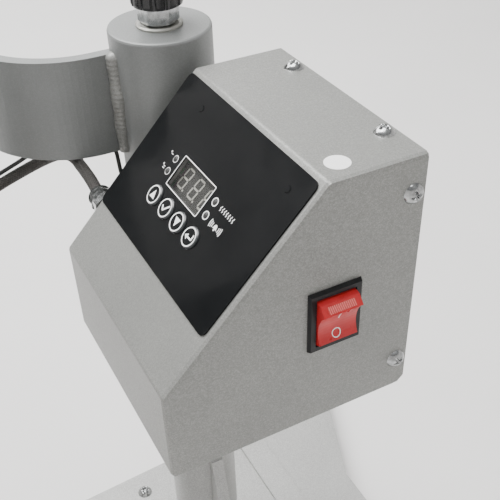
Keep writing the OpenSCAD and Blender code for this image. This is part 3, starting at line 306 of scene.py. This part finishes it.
KNOB = finish_of("knob_plastic", (0.006, 0.006, 0.007), (0.014, 0.014, 0.015), 60.0,
                 (0.16, 0.3), bump=0.08, grain=1800.0)
PANEL = gloss_film("gloss_black_film")
WINDOW = finish_of("smoked_window", (0.035, 0.035, 0.034), (0.05, 0.049, 0.047), 60.0,
                   (0.08, 0.14), alpha=0.24, specular_ior_level=0.35)
MODULE = finish_of("display_module", (0.060, 0.060, 0.056), (0.078, 0.078, 0.072), 300.0, (0.5, 0.65))
LENS = finish_of("lamp_lens", (0.018, 0.018, 0.018), (0.04, 0.04, 0.038), 1500.0,
                 (0.25, 0.4), specular_ior_level=0.3)
BOARD = finish_of("circuit_board", (0.01, 0.09, 0.03), (0.03, 0.16, 0.05), 200.0, (0.3, 0.5), bump=0.2)
RUBBER = finish_of("black_rubber", (0.012, 0.012, 0.012), (0.028, 0.027, 0.026), 120.0,
                   (0.55, 0.8), bump=0.35, grain=2200.0)
FIBRE = finish_of("ceramic_fibre", (0.62, 0.6, 0.54), (0.8, 0.78, 0.72), 300.0,
                  (0.8, 0.95), bump=0.9, grain=900.0, distance=0.0005)
MICA = finish_of("mica", (0.3, 0.25, 0.17), (0.42, 0.36, 0.25), 160.0, (0.4, 0.6), bump=0.3, grain=900.0)
SILICONE = finish_of("sponge_silicone", (0.52, 0.15, 0.07), (0.62, 0.2, 0.1), 140.0,
                     (0.6, 0.8), bump=0.5, grain=1600.0, distance=0.0002)
COATED = finish_of("non_stick_coat", (0.03, 0.03, 0.032), (0.055, 0.055, 0.058), 90.0,
                   (0.32, 0.5), metal=0.5, bump=0.2, grain=2200.0)
CAP = finish_of("button_plastic", (0.055, 0.057, 0.06), (0.075, 0.078, 0.08), 200.0, (0.12, 0.25))
BRAID = braided("braided_sleeve", (0.010, 0.009, 0.008), (0.055, 0.05, 0.045), 12)
WHITE = finish_of("white_print", (0.90, 0.90, 0.89), (0.95, 0.95, 0.94), 200.0, (0.4, 0.55))
SEGMENT = finish_of("unlit_segment", (0.78, 0.77, 0.68), (0.86, 0.85, 0.76), 300.0, (0.4, 0.55))
RED = finish_of("red_rocker", (0.52, 0.02, 0.022), (0.64, 0.03, 0.034), 140.0, (0.26, 0.36),
                transmission_weight=0.15, specular_ior_level=0.3, coat_weight=0.12)
# Red ribs whose grooves carry painted shade and whose crests carry a painted highlight.
RIBS_PAINTED_LIGHT = ridges_with_painted_light("ribbed_red_painted_light", (0.55, 0.05, 0.05), (0.85, 0.2, 0.18), 0.0009)

DRESS = {
    PAINT: ["box_bracket", "box_housing", "rear_cover", "bottom_cover", "platen_cover", "stand_column",
            "form_base", "form_ribs", "cap_form"],
    ARM_PAINT_PAINTED_SHADE: ["pivot_sleeve", "arm_strap", "head_barrel", "head_cheeks", "lever_plates", "platen_bracket"],
    BASE_PAINT: ["base_plate", "cross_bar", "pivot_post", "post_gussets"],
    DULL_ZINC: ["screw_washer"],
    ZINC_PAINTED_REFLECTIONS: ["foot_screws", "height_screw", "lock_nut", "housing_screws", "board_standoffs",
           "platen_studs", "stand_stem", "handle_rod", "cable_gland", "head_gland"],
    STEEL: ["fulcrum_pin", "crank_pin", "press_shaft", "shaft_head"],
    SPRING: ["return_spring"],
    BRONZE: ["thrust_pad", "shaft_bushings"],
    BLACK: ["stand_knob", "rocker_bezel", "mains_gland", "power_relay"],
    CAP: ["up_button", "set_button", "down_button", "enter_button"],
    KNOB: ["height_knob"],
    PANEL: ["overlay_panel"],
    WINDOW: ["display_window"],
    LENS: ["indicator_lamps"],
    BOARD: ["control_board"],
    RUBBER: ["rubber_feet", "handle_grip", "lead_grommet", "sensor_lead", "heater_cable"],
    FIBRE: ["insulation_pad"],
    MICA: ["heating_element"],
    SILICONE: ["silicone_pad"],
    COATED: ["heating_platen"],
    RED: ["power_rocker"],
}
for material, names in DRESS.items():
    for name in names:
        slots = NODES[name].data.materials
        if not len(slots):
            slots.append(material)
        for i in range(len(slots)):
            slots[i] = material


# Building pieces

def add_piece(name, verts, faces, material, body, smooth=True):
    mesh = bpy.data.meshes.new(name)
    mesh.from_pydata([tuple(v) for v in verts], [], faces)
    bm = bmesh.new()
    bm.from_mesh(mesh)
    bmesh.ops.recalc_face_normals(bm, faces=bm.faces)
    for face in bm.faces:
        face.smooth = smooth
    bm.to_mesh(mesh)
    bm.free()
    mesh.materials.append(material)
    obj = bpy.data.objects.new(name, mesh)
    bpy.context.scene.collection.objects.link(obj)
    if body:
        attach(obj, body)
    return obj


class Shape:
    """Vertices and faces gathered from several forms into one piece."""

    def __init__(self):
        self.verts, self.faces = [], []

    def add(self, verts, faces):
        start = len(self.verts)
        self.verts += verts
        self.faces += [tuple(start + i for i in face) for face in faces]

    def raised(self, outline, place, low, high):
        """A flat outline raised from low to high."""
        n = len(outline)
        self.add([place(x, y, z) for z in (low, high) for x, y in outline],
                 [tuple(range(n, 2 * n)), tuple(reversed(range(n)))]
                 + [(i, (i + 1) % n, n + (i + 1) % n, n + i) for i in range(n)])

    def band(self, outer, inner, place, low, high):
        """The closed band between two outlines of as many points, raised from low to high."""
        n = len(outer)
        loops = [[place(x, y, z) for x, y in line] for line, z in
                 ((outer, low), (outer, high), (inner, high), (inner, low))]
        self.add([v for loop in loops for v in loop],
                 [(k * n + i, k * n + (i + 1) % n, (k + 1) % 4 * n + (i + 1) % n, (k + 1) % 4 * n + i)
                  for k in range(4) for i in range(n)])


def circle(x, y, r, sides=40):
    turns = [2 * math.pi * k / sides for k in range(sides)]
    return [(x + r * math.cos(a), y + r * math.sin(a)) for a in turns]


def tube_faces(rows, sides):
    """Faces between rings of vertices that follow each other."""
    faces = []
    for here in range(0, (rows - 1) * sides, sides):
        for k in range(sides):
            k_next = (k + 1) % sides
            faces.append((here + k, here + k_next, here + sides + k_next, here + sides + k))
    return faces


def end_faces(rows, sides):
    """Faces that close the first and the last ring."""
    return [tuple(range(sides)), tuple(range((rows - 1) * sides, rows * sides))]


def rounded_box(x0, y0, x1, y1, r, steps=5):
    out = []
    corners = ((x1 - r, y1 - r, 0), (x0 + r, y1 - r, 90), (x0 + r, y0 + r, 180), (x1 - r, y0 + r, 270))
    for cx, cy, start in corners:
        for k in range(steps + 1):
            a = math.radians(start + 90 * k / steps)
            out.append((cx + r * math.cos(a), cy + r * math.sin(a)))
    return out


def stroke(a, b, width):
    """Outline of a straight stroke with blunt pointed ends."""
    a, b = Vector(a), Vector(b)
    along = (b - a).normalized()
    side = Vector((-along.y, along.x)) * width / 2
    tip = along * width / 2
    return [tuple(p) for p in (a - tip, a + side, b + side, b + tip, b - side, a - side)]


def bend(points, width, place, low, high, shape):
    """A line of strokes through the points."""
    for a, b in zip(points, points[1:]):
        shape.raised(stroke(a, b, width), place, low, high)


# Places on the slanted face, in millimetres across, up and out of it

SLANT = (Matrix.Translation(Vector((BOX_X[0], BOX_Y[0], SLANT_Z)) * MM)
         @ Matrix.Rotation(math.atan2(BOX_Z[1] - SLANT_Z, SLANT_RUN), 4, "X"))


def on_slant(x, y, n):
    return SLANT @ (Vector((x, y, n)) * MM)


PANEL_TOP = 0.8
INK = 0.06
SUNK = 0.02
LINE = 0.42
BUTTON_TOP = 1.95
BUTTON_Y = 50.5
BUTTONS = [("up_button", 34.5), ("set_button", 46.9), ("down_button", 58.9), ("enter_button", 71.2)]
LAMPS = [(31.1, 68.1), (31.3, 61.8), (70.2, 68.0), (70.4, 61.4)]
WINDOW_LOW, WINDOW_HIGH = (35.9, 57.8), (65.2, 72.2)


def window_outline(margin, corner):
    return rounded_box(WINDOW_LOW[0] - margin, WINDOW_LOW[1] - margin,
                       WINDOW_HIGH[0] + margin, WINDOW_HIGH[1] + margin, corner)


def add_panel_print():
    """White lines on the panel: the window's frame, a ring round each lamp, and small signs beside them."""
    ink = Shape()
    low, high = PANEL_TOP - SUNK, PANEL_TOP + INK
    ink.band(window_outline(LINE, 0.8), window_outline(0.02, 0.5), on_slant, low, high)
    for (x, y), r in zip(LAMPS, (1.75, 1.75, 1.95, 1.95)):
        ink.band(circle(x, y, r), circle(x, y, r - LINE), on_slant, low, high)
    for (x, y), bars in zip(LAMPS[:2], (1, 2)):
        ink.band(circle(x - 5.5, y + 1.2, 0.45, 16), circle(x - 5.5, y + 1.2, 0.2, 16), on_slant, low, high)
        for bar_y in (y + 0.5 - 0.9 * k for k in range(bars)):
            bend([(x - 4.9, bar_y), (x - 3.6, bar_y)], 0.36, on_slant, low, high, ink)
    x, y = LAMPS[2]
    for k in range(7):
        wave = [(x + 5.3 + 1.72 * k + 0.3 * math.sin(i * 1.1), y - 1.0 + i * 0.25) for i in range(9)]
        bend(wave, LINE, on_slant, low, high, ink)
    x, y = LAMPS[3][0] + 9.3, LAMPS[3][1] - 0.5
    bell = [(-1.7, -0.7), (-1.2, -0.3), (-1.0, 0.6), (-0.6, 1.1), (0.0, 1.3),
            (0.6, 1.1), (1.0, 0.6), (1.2, -0.3), (1.7, -0.7)]
    ink.raised([(x + a, y + b) for a, b in reversed(bell)], on_slant, low, high)
    ink.raised(circle(x, y - 1.15, 0.4, 16), on_slant, low, high)
    for side in (-1, 1):
        for r in (2.5, 3.5, 4.5):
            arc = [(x + side * r * math.cos(math.radians(a)), y + 0.1 + r * math.sin(math.radians(a)))
                   for a in range(-21, 22, 7)]
            bend(arc, LINE, on_slant, low, high, ink)
    add_piece("panel_print", ink.verts, ink.faces, WHITE, "arm", smooth=False)


def add_display():
    """Face of the display under its window, with three unlit digits."""
    face = Shape()
    face.raised(window_outline(0.9, 0.3), on_slant, -4.4, -3.74)
    add_piece("display_face", face.verts, face.faces, MODULE, "arm", smooth=False)
    digits = Shape()
    width, height, lean, line, gap = 4.7, 9.4, 0.135, 0.85, 0.13
    low, high = -3.76, -3.64

    def segment(a, b):
        digits.raised(stroke(a, b, line), on_slant, low, high)

    for k in range(3):
        x0, y0 = WINDOW_LOW[0] + 0.3 + 10.24 * k, WINDOW_LOW[1] + 1.9

        def at(i, j):
            return (x0 + i * width + lean * j * height / 2, y0 + j * height / 2)

        for j in (0, 1, 2):
            segment(at(gap, j), at(1 - gap, j))
        for i in (0, 1):
            for j in (0, 1):
                segment(at(i, j + gap), at(i, j + 1 - gap))
        digits.raised(circle(x0 + width + 1.15, y0 - 0.05, 0.55, 16), on_slant, low, high)
    add_piece("display_digits", digits.verts, digits.faces, SEGMENT, "arm", smooth=False)


def add_button_prints():
    """Black disc, white ring and sign on each button."""
    y = BUTTON_Y
    base, low, high = BUTTON_TOP - 0.1, BUTTON_TOP - 0.05, BUTTON_TOP + 0.03
    for name, x in BUTTONS:
        disc, ink = Shape(), Shape()
        disc.raised(circle(x, y, 4.0), on_slant, base, BUTTON_TOP - 0.01)
        ink.band(circle(x, y, 4.3, 64), circle(x, y, 3.75, 64), on_slant, base, high)
        if name == "up_button":
            ink.raised([(x - 2.1, y - 1.7), (x + 2.0, y - 1.7), (x, y + 2.3)], on_slant, low, high)
        elif name == "down_button":
            ink.raised([(x - 2.1, y + 1.7), (x, y - 2.3), (x + 2.0, y + 1.7)], on_slant, low, high)
        elif name == "set_button":
            bend([(x - 2.2, y + 0.2), (x - 0.7, y - 1.5), (x + 2.3, y + 1.9)], 0.8, on_slant, low, high, ink)
        else:
            bend([(x + 2.3, y + 1.8), (x + 2.3, y - 0.4), (x - 1.3, y - 0.4)], 0.75, on_slant, low, high, ink)
            ink.raised([(x - 2.9, y - 0.4), (x - 0.9, y - 1.8), (x - 0.9, y + 1.0)], on_slant, low, high)
        add_piece(name + "_disc", disc.verts, disc.faces, PANEL, name, smooth=False)
        add_piece(name + "_print", ink.verts, ink.faces, WHITE, name, smooth=False)


# Power rocker, in millimetres out of, across and up its own axis

ROCKER_AXIS = next(joint["pos_m"] for joint in frame["joints"] if joint["name"] == "power_switch")
ROCKER = Matrix.Translation(Vector(ROCKER_AXIS)) @ Matrix.Rotation(math.radians(10), 4, "Y")
CREST, CREST_Z, END, END_Z, MIDDLE = 7.2, 8.55, 3.4, 11.55, 4.2
HOLLOW_R = (CREST_Z ** 2 + (CREST - MIDDLE) ** 2) / (2 * (CREST - MIDDLE))


def add_rocker_marks():
    """Ribbed patch with painted shade and highlight on the upper facet, and the bar and ring of the switch on
    its hollow face.
    """
    def on_facet(across, down, out):
        t = down / math.hypot(END_Z - CREST_Z, CREST - END)
        x = CREST + (END - CREST) * t
        z = CREST_Z + (END_Z - CREST_Z) * t
        normal = Vector((END_Z - CREST_Z, 0, CREST - END)).normalized() * out
        return ROCKER @ ((Vector((x, across, z)) + normal) * MM)

    patch = Shape()
    patch.raised(rounded_box(-6.4, 0.8, 6.4, 3.9, 0.4), on_facet, -0.05, 0.08)
    add_piece("rocker_ribs", patch.verts, patch.faces, RIBS_PAINTED_LIGHT, "power_rocker", smooth=False)

    def on_face(across, up, out):
        centre = MIDDLE + HOLLOW_R
        reach = math.sqrt(HOLLOW_R ** 2 - up ** 2)
        x, z = centre - reach + out * reach / HOLLOW_R, up - out * up / HOLLOW_R
        return ROCKER @ (Vector((x, across, z)) * MM)

    marks = Shape()
    for k in range(6):
        low, high = 2.2 + 0.6 * k, 2.8 + 0.6 * k
        marks.raised([(-0.2, low), (0.2, low), (0.2, high), (-0.2, high)], on_face, -0.05, 0.1)
    marks.band(circle(-0.6, -5.6, 2.1, 48), circle(-0.6, -5.6, 1.75, 48), on_face, -0.05, 0.1)
    add_piece("rocker_marks", marks.verts, marks.faces, WHITE, "power_rocker", smooth=False)


# Screws with a cross recess

def cross_depth(x, y, reach, width, depth):
    """Depth of a cross recess at a point of a screw's head."""
    out = 0.0
    for a, b in ((abs(x), abs(y)), (abs(y), abs(x))):
        if a < reach:
            wall = min(1.0, max(0.0, (width / 2 - b) / (0.25 * width) + 0.5))
            out = max(out, depth * wall * min(1.0, 1.6 * (1 - a / reach)))
    return out


def add_screw(shape, at, axis, turn, head, shank):
    """Pan head with a cross recess and its shank, as radius and length; at is the middle of the seat."""
    rings, sides = 22, 72
    (head_r, head_h), (shank_r, shank_len) = head, shank
    dome = (head_r * head_r + head_h * head_h) / (2 * head_h)
    frame_of = axis.to_track_quat("Z", "Y") @ Matrix.Rotation(turn, 3, "Z").to_quaternion()
    verts = []

    def put(x, y, z):
        verts.append(Vector(at) * MM + frame_of @ (Vector((x, y, z)) * MM))

    for j in range(rings + 1):
        r = head_r * math.sin(math.pi / 2 * j / rings)
        for x, y in circle(0, 0, r, sides):
            z = head_h - dome + math.sqrt(max(dome * dome - r * r, 0.0))
            z -= cross_depth(x, y, head_r * 0.58, head_r * 0.27, head_h * 0.62)
            put(x, y, max(z, 0.05))
    for r, z in ((head_r, 0.0), (shank_r, 0.0), (shank_r, -shank_len)):
        for x, y in circle(0, 0, r, sides):
            put(x, y, z)
    rows = rings + 4
    shape.add(verts, tube_faces(rows, sides) + end_faces(rows, sides)[1:])


def add_screws():
    """Screws of the control box and of the feet."""
    box = Shape()
    flange_y = BOX_Y[1] - 5.5
    up, right, left, down = Vector((0, 0, 1)), Vector((1, 0, 0)), Vector((-1, 0, 0)), Vector((0, 0, -1))
    head, long_shank, short_shank = (4.6, 3.0), (2.0, 8.0), (2.0, 5.5)
    under = box_mm("bottom_cover")[0][2]
    places = [((BOX_X[0] + 23.4, flange_y, BOX_Z[1]), up, 0.5),
              ((BOX_X[1] - 21.6, flange_y, BOX_Z[1]), up, 0.2)]
    for z, turn in ((BOX_Z[0] + 15.8, 0.55), (BOX_Z[0] + 102.9, 0.3)):
        places += [((BOX_X[1], flange_y, z), right, turn), ((BOX_X[0], flange_y, z), left, turn + 0.4)]
    for x in (BOX_X[0] + 8, BOX_X[1] - 8):
        for y in (BOX_Y[0] + 11.8, BOX_Y[1] - 16):
            places.append(((x, y, under), down, x * 0.1 + y * 0.03))
    for at, axis, turn in places:
        add_screw(box, at, axis, turn, head, long_shank)
    for y in (POST_Y - 13, POST_Y + 13):
        for z in (BOX_Z[0] + 28, BOX_Z[0] + 82):
            add_screw(box, (BOX_X[0] + SHEET, y, z), right, z * 0.1, head, short_shank)
    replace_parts(add_piece("cross_head_screws", box.verts, box.faces, ZINC_PAINTED_REFLECTIONS, "arm"), "housing_screws")
    feet = Shape()
    places = [(side * x, y) for x, y in ((136, 233), (136, -233), (92, 47.4)) for side in (1, -1)]
    for i, (x, y) in enumerate(places):
        add_screw(feet, (x, y, BASE_TOP), up, 0.4 + 0.7 * i, head=(6.0, 4.5), shank=(3.0, 16.0))
    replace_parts(add_piece("foot_screw_heads", feet.verts, feet.faces, ZINC_PAINTED_REFLECTIONS, "base"), "foot_screws")


# Cable, lead and spring

def smooth_route(points, steps):
    """A smooth curve through the points."""
    points = [Vector(p) * MM for p in points]
    out = []
    padded = points[:1] + points + points[-1:]
    for p0, p1, p2, p3 in zip(padded, padded[1:], padded[2:], padded[3:]):
        for k in range(steps):
            t = k / steps
            out.append(0.5 * ((2 * p1) + (p2 - p0) * t + (2 * p0 - 5 * p1 + 4 * p2 - p3) * t * t
                              + (3 * p1 - p0 - 3 * p2 + p3) * t ** 3))
    return out + [points[-1]]


def add_tube(name, route, radius, sides, material, body, uv=False):
    """A round tube along a route; its UV runs once round it."""
    befores, afters = route[:1] + route[:-1], route[1:] + route[-1:]
    along = [(after - before).normalized() for before, after in zip(befores, afters)]
    side = along[0].orthogonal().normalized()
    verts, lengths, run = [], [], 0.0
    for i, (point, tangent) in enumerate(zip(route, along)):
        side = (side - tangent * side.dot(tangent)).normalized()
        other = tangent.cross(side)
        run += (point - route[i - 1]).length if i else 0.0
        lengths.append(run / (2 * math.pi * radius))
        verts += [point + radius * (side * x + other * y) for x, y in circle(0, 0, 1, sides)]
    rows = len(route)
    obj = add_piece(name, verts, tube_faces(rows, sides) + end_faces(rows, sides), material, body)
    if uv:
        layer = obj.data.uv_layers.new(name="round")
        for polygon in obj.data.polygons:
            corners = [obj.data.loops[i].vertex_index for i in polygon.loop_indices]
            wraps = len(corners) == 4 and {0, sides - 1} <= {v % sides for v in corners}
            for i, v in zip(polygon.loop_indices, corners):
                k = v % sides
                layer.data[i].uv = ((sides if wraps and k == 0 else k) / sides, lengths[v // sides])
    return obj


# Routes of the two leads from the box to the head
CABLE = [(30, 22, 385.8), (23, 22, 385.8), (17, 22, 387), (10, 22, 388.3), (0, 22, 388.6),
         (-6, 22, 388.4), (-11.5, 21.8, 388.6), (-17, 20, 389), (-23, 16, 387.5), (-31, 9, 382),
         (-38, -1, 375), (-43, -13, 368), (-46, -26, 361), (-47, -39, 354), (-47, -51, 348),
         (-45, -63, 343), (-42, -74, 340), (-40, -84, 338), (-40, -92.7, 338)]
LEAD = [(34, 43, 354), (30, 43, 354), (25, 43, 355), (20, 43, 357), (15, 43, 360), (10, 43, 362),
        (5, 43, 364.5), (0, 43, 368), (-4.2, 43, 372), (-6.8, 43, 376.5), (-8.1, 43, 380.4),
        (-9, 43, 384), (-10.2, 42.8, 388), (-12.5, 41, 391.5), (-15, 37.5, 395.5), (-17, 32, 398),
        (-18.5, 27, 399), (-20.5, 22, 398), (-23, 17.5, 396), (-26, 14, 393.5), (-29, 11, 391),
        (-33, 5, 387), (-38, -2, 381), (-43, -13, 374), (-46, -26, 367), (-47, -39, 360),
        (-47, -51, 354), (-45, -63, 349), (-41, -74, 347), (-35, -84, 346), (-31, -93, 346),
        (-30, -102.7, 346)]


def add_leads():
    """Heater cable and sensor lead, which run between the box and the head."""
    cable = add_tube("braided_heater_cable", smooth_route(CABLE, 6), 0.003, 32, BRAID, None, uv=True)
    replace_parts(cable, "heater_cable")
    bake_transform(cable)
    lead = add_tube("thin_sensor_lead", smooth_route(LEAD, 5), 0.0011, 16, RUBBER, None)
    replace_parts(lead, "sensor_lead")
    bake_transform(lead)


def add_spring():
    """Return spring with closed ends, between the upper bushing and the shaft's head."""
    turns, end_turn, end_pitch, wire, gap, per_turn = 6, 0.9, 3.1, 2.5, 0.1, 40
    coil_r = box_mm("return_spring")[1][0] - wire / 2
    low = box_mm("shaft_bushings")[1][2] + wire / 2 + gap
    high = box_mm("shaft_head")[0][2] - wire / 2 - gap
    rise = high - low - 2 * end_turn * end_pitch
    route = []
    for i in range(turns * per_turn + 1):
        t = i / per_turn
        lift = end_pitch * (min(t, end_turn) + max(0, t - turns + end_turn))
        lift += rise * max(0, min(1, (t - end_turn) / (turns - 2 * end_turn)))
        a = 2 * math.pi * t
        route.append(Vector((coil_r * math.cos(a), HEAD_Y + coil_r * math.sin(a), low + lift)) * MM)
    spring = add_tube("coil_spring", route, wire / 2 * MM, 14, SPRING, "arm")
    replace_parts(spring, "return_spring")
    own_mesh(spring)


def add_silicone_pad():
    """Curved sponge pad with softly rounded edges."""
    low, high = box_mm("silicone_pad")
    half, depth = high[0], high[1] - low[1]
    inner, outer = 112.62, 119.6
    axis_z = high[2] - outer
    soft, across, along = 2.2, 56, 36

    def ease(distance):
        return math.sqrt(max(0.0, 1 - (1 - min(distance / soft, 1)) ** 2))

    def spread(i, n):
        return -math.cos(math.pi * i / n)

    verts, faces = [], []
    for layer in (0, 1):
        for i in range(across + 1):
            for j in range(along + 1):
                s, t = spread(i, across), spread(j, along)
                edge = min((1 - abs(s)) * half, (1 - abs(t)) * depth / 2)
                drop = soft * (1 - ease(edge)) if layer else 0.0
                r = outer - drop if layer else inner
                a = s * math.asin(half / r)
                verts.append(Vector((r * math.sin(a), HEAD_Y + t * depth / 2, axis_z + r * math.cos(a))) * MM)
    row, count = along + 1, (across + 1) * (along + 1)
    for layer in (0, 1):
        for i in range(across):
            for j in range(along):
                a = layer * count + i * row + j
                faces.append((a, a + 1, a + row + 1, a + row))
    rim = ([i * row for i in range(across + 1)] + [across * row + j for j in range(1, along + 1)]
           + [i * row + along for i in range(across - 1, -1, -1)] + [j for j in range(along - 1, 0, -1)])
    faces += [(a, b, b + count, a + count) for a, b in zip(rim, rim[1:] + rim[:1])]
    pad = add_piece("sponge_pad", verts, faces, SILICONE, "base")
    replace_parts(pad, "silicone_pad")


# Weld beads and sticker

def add_bead(shape, x, y, z0, z1, radius, seed, swell=0.0):
    """Upright bead of overlapping ripples, swelling and leaning to +X at mid height."""
    count, sides = int((z1 - z0) / 0.5), 32
    verts = []
    for i in range(count + 1):
        t = i / count
        z = z0 + (z1 - z0) * t
        ripple = 0.3 * abs(math.sin(z * 1.35 + seed)) + 0.25 * math.sin(z * 0.37 + 2 * seed)
        fade = min(1.0, (t * (z1 - z0) + 0.6) / 2.2, ((1 - t) * (z1 - z0) + 0.6) / 2.2)
        r = radius * math.sqrt(fade) + (ripple + swell * math.sin(math.pi * t)) * fade
        lean = swell * math.sin(math.pi * t) + 0.3 * math.sin(z * 0.21 + seed)
        verts += [Vector((*point, z)) * MM for point in circle(x + lean, y, r, sides)]
    shape.add(verts, tube_faces(count + 1, sides) + end_faces(count + 1, sides))


def add_beads():
    """Beads on both sides of the strap at the sleeve, and at the head's barrel."""
    arm = Shape()
    low, high = [corner[2] for corner in box_mm("arm_strap")]
    start = low - 0.3
    bead_y = POST_Y - math.sqrt(SLEEVE_R ** 2 - STRAP_HALF ** 2) + 0.3
    add_bead(arm, 0.4, bead_y, start, high + 1.2, 3.6, 1.0, 0.6)
    add_bead(arm, -7.2, bead_y, start, high - 10, 2.8, 2.0)
    for side in (-1, 1):
        add_bead(arm, -23, HEAD_Y + side * 3.5, start, high + 0.4, 3.4, 2.0 + side)
    add_piece("weld_beads", arm.verts, arm.faces, PAINT, "arm")


def add_sticker():
    """Blank round sticker on the box's top."""
    dot = Shape()
    x, y, r = BOX_X[0] + 103.8, BOX_Y[1] - 33.6, 5.2

    def on_top(across, along, out):
        return Vector((across, along, BOX_Z[1] + out)) * MM

    dot.raised(circle(x, y, r, 48), on_top, -0.02, 0.14)
    add_piece("round_dot", dot.verts, dot.faces, WHITE, "arm", smooth=False)


add_panel_print()
add_display()
add_button_prints()
add_rocker_marks()
add_screws()
add_leads()
add_spring()
add_silicone_pad()
add_beads()
add_sticker()


# Floor and light

AIM = Vector((0.0, 0.0, 0.3))


def add_floor():
    """A pale round studio: a flat floor that turns up into a wall on every side."""
    reach, rise, radius, around = 3.2, 2.6, 0.9, 96
    turns = [math.radians(90 * i / 12) for i in range(13)]
    profile = [(reach - radius * (1 - math.sin(a)), radius * (1 - math.cos(a))) for a in turns]
    profile.append((reach, rise))
    bm = bmesh.new()
    rings = [[bm.verts.new((*point, FLOOR_Z * MM + z)) for point in circle(0, 0, r, around)]
             for r, z in profile]
    bm.faces.new(rings[0])
    for a, b in zip(rings, rings[1:]):
        for k in range(around):
            bm.faces.new((a[k], b[k], b[k - 1], a[k - 1]))
    mesh = bpy.data.meshes.new("floor")
    bm.to_mesh(mesh)
    bm.free()
    obj = bpy.data.objects.new("floor", mesh)
    bpy.context.scene.collection.objects.link(obj)
    for p in mesh.polygons:
        p.use_smooth = len(p.vertices) == 4
    mesh.materials.append(finish_of("floor_paper", (0.73, 0.72, 0.71), (0.77, 0.76, 0.75), 3.0, (0.7, 0.85)))


def add_area(name, at, size, power, colour=(1.0, 1.0, 1.0)):
    """A soft light aimed at the lower part of the press."""
    data = bpy.data.lights.new(name, "AREA")
    data.shape = "RECTANGLE"
    data.size, data.size_y = size
    data.energy = power
    data.color = colour
    obj = bpy.data.objects.new(name, data)
    obj.location = at
    obj.rotation_euler = (AIM - Vector(at)).to_track_quat("-Z", "Y").to_euler()
    bpy.context.scene.collection.objects.link(obj)


def add_world():
    """Bright straight above, dim near the horizon and below it."""
    world = bpy.data.worlds.new("studio")
    world.use_nodes = True
    tree = world.node_tree
    coords = tree.nodes.new("ShaderNodeTexCoord")
    parts = tree.nodes.new("ShaderNodeSeparateXYZ")
    ramp = tree.nodes.new("ShaderNodeValToRGB")
    tree.links.new(coords.outputs["Generated"], parts.inputs["Vector"])
    tree.links.new(parts.outputs["Z"], ramp.inputs["Fac"])
    dim, bright = (0.24, 0.245, 0.25, 1), (1, 1, 1, 1)
    ramp.color_ramp.elements.new(0.45)
    for element, tone in zip(ramp.color_ramp.elements, (dim, dim, bright)):
        element.color = tone
    tree.links.new(ramp.outputs["Color"], tree.nodes["Background"].inputs["Color"])
    tree.nodes["Background"].inputs["Strength"].default_value = 0.75
    bpy.context.scene.world = world


add_floor()
add_area("left_top", (-1.0, -0.6, 2.3), (1.8, 2.2), 120.0)
add_area("overhead", (-0.1, -0.1, 2.4), (1.2, 1.2), 35.0)
add_area("left_rear", (-2.0, 0.6, 1.2), (1.0, 1.0), 8.0)
add_area("right", (2.0, -0.2, 1.4), (1.0, 1.0), 1.0, (1.0, 0.97, 0.93))
add_world()
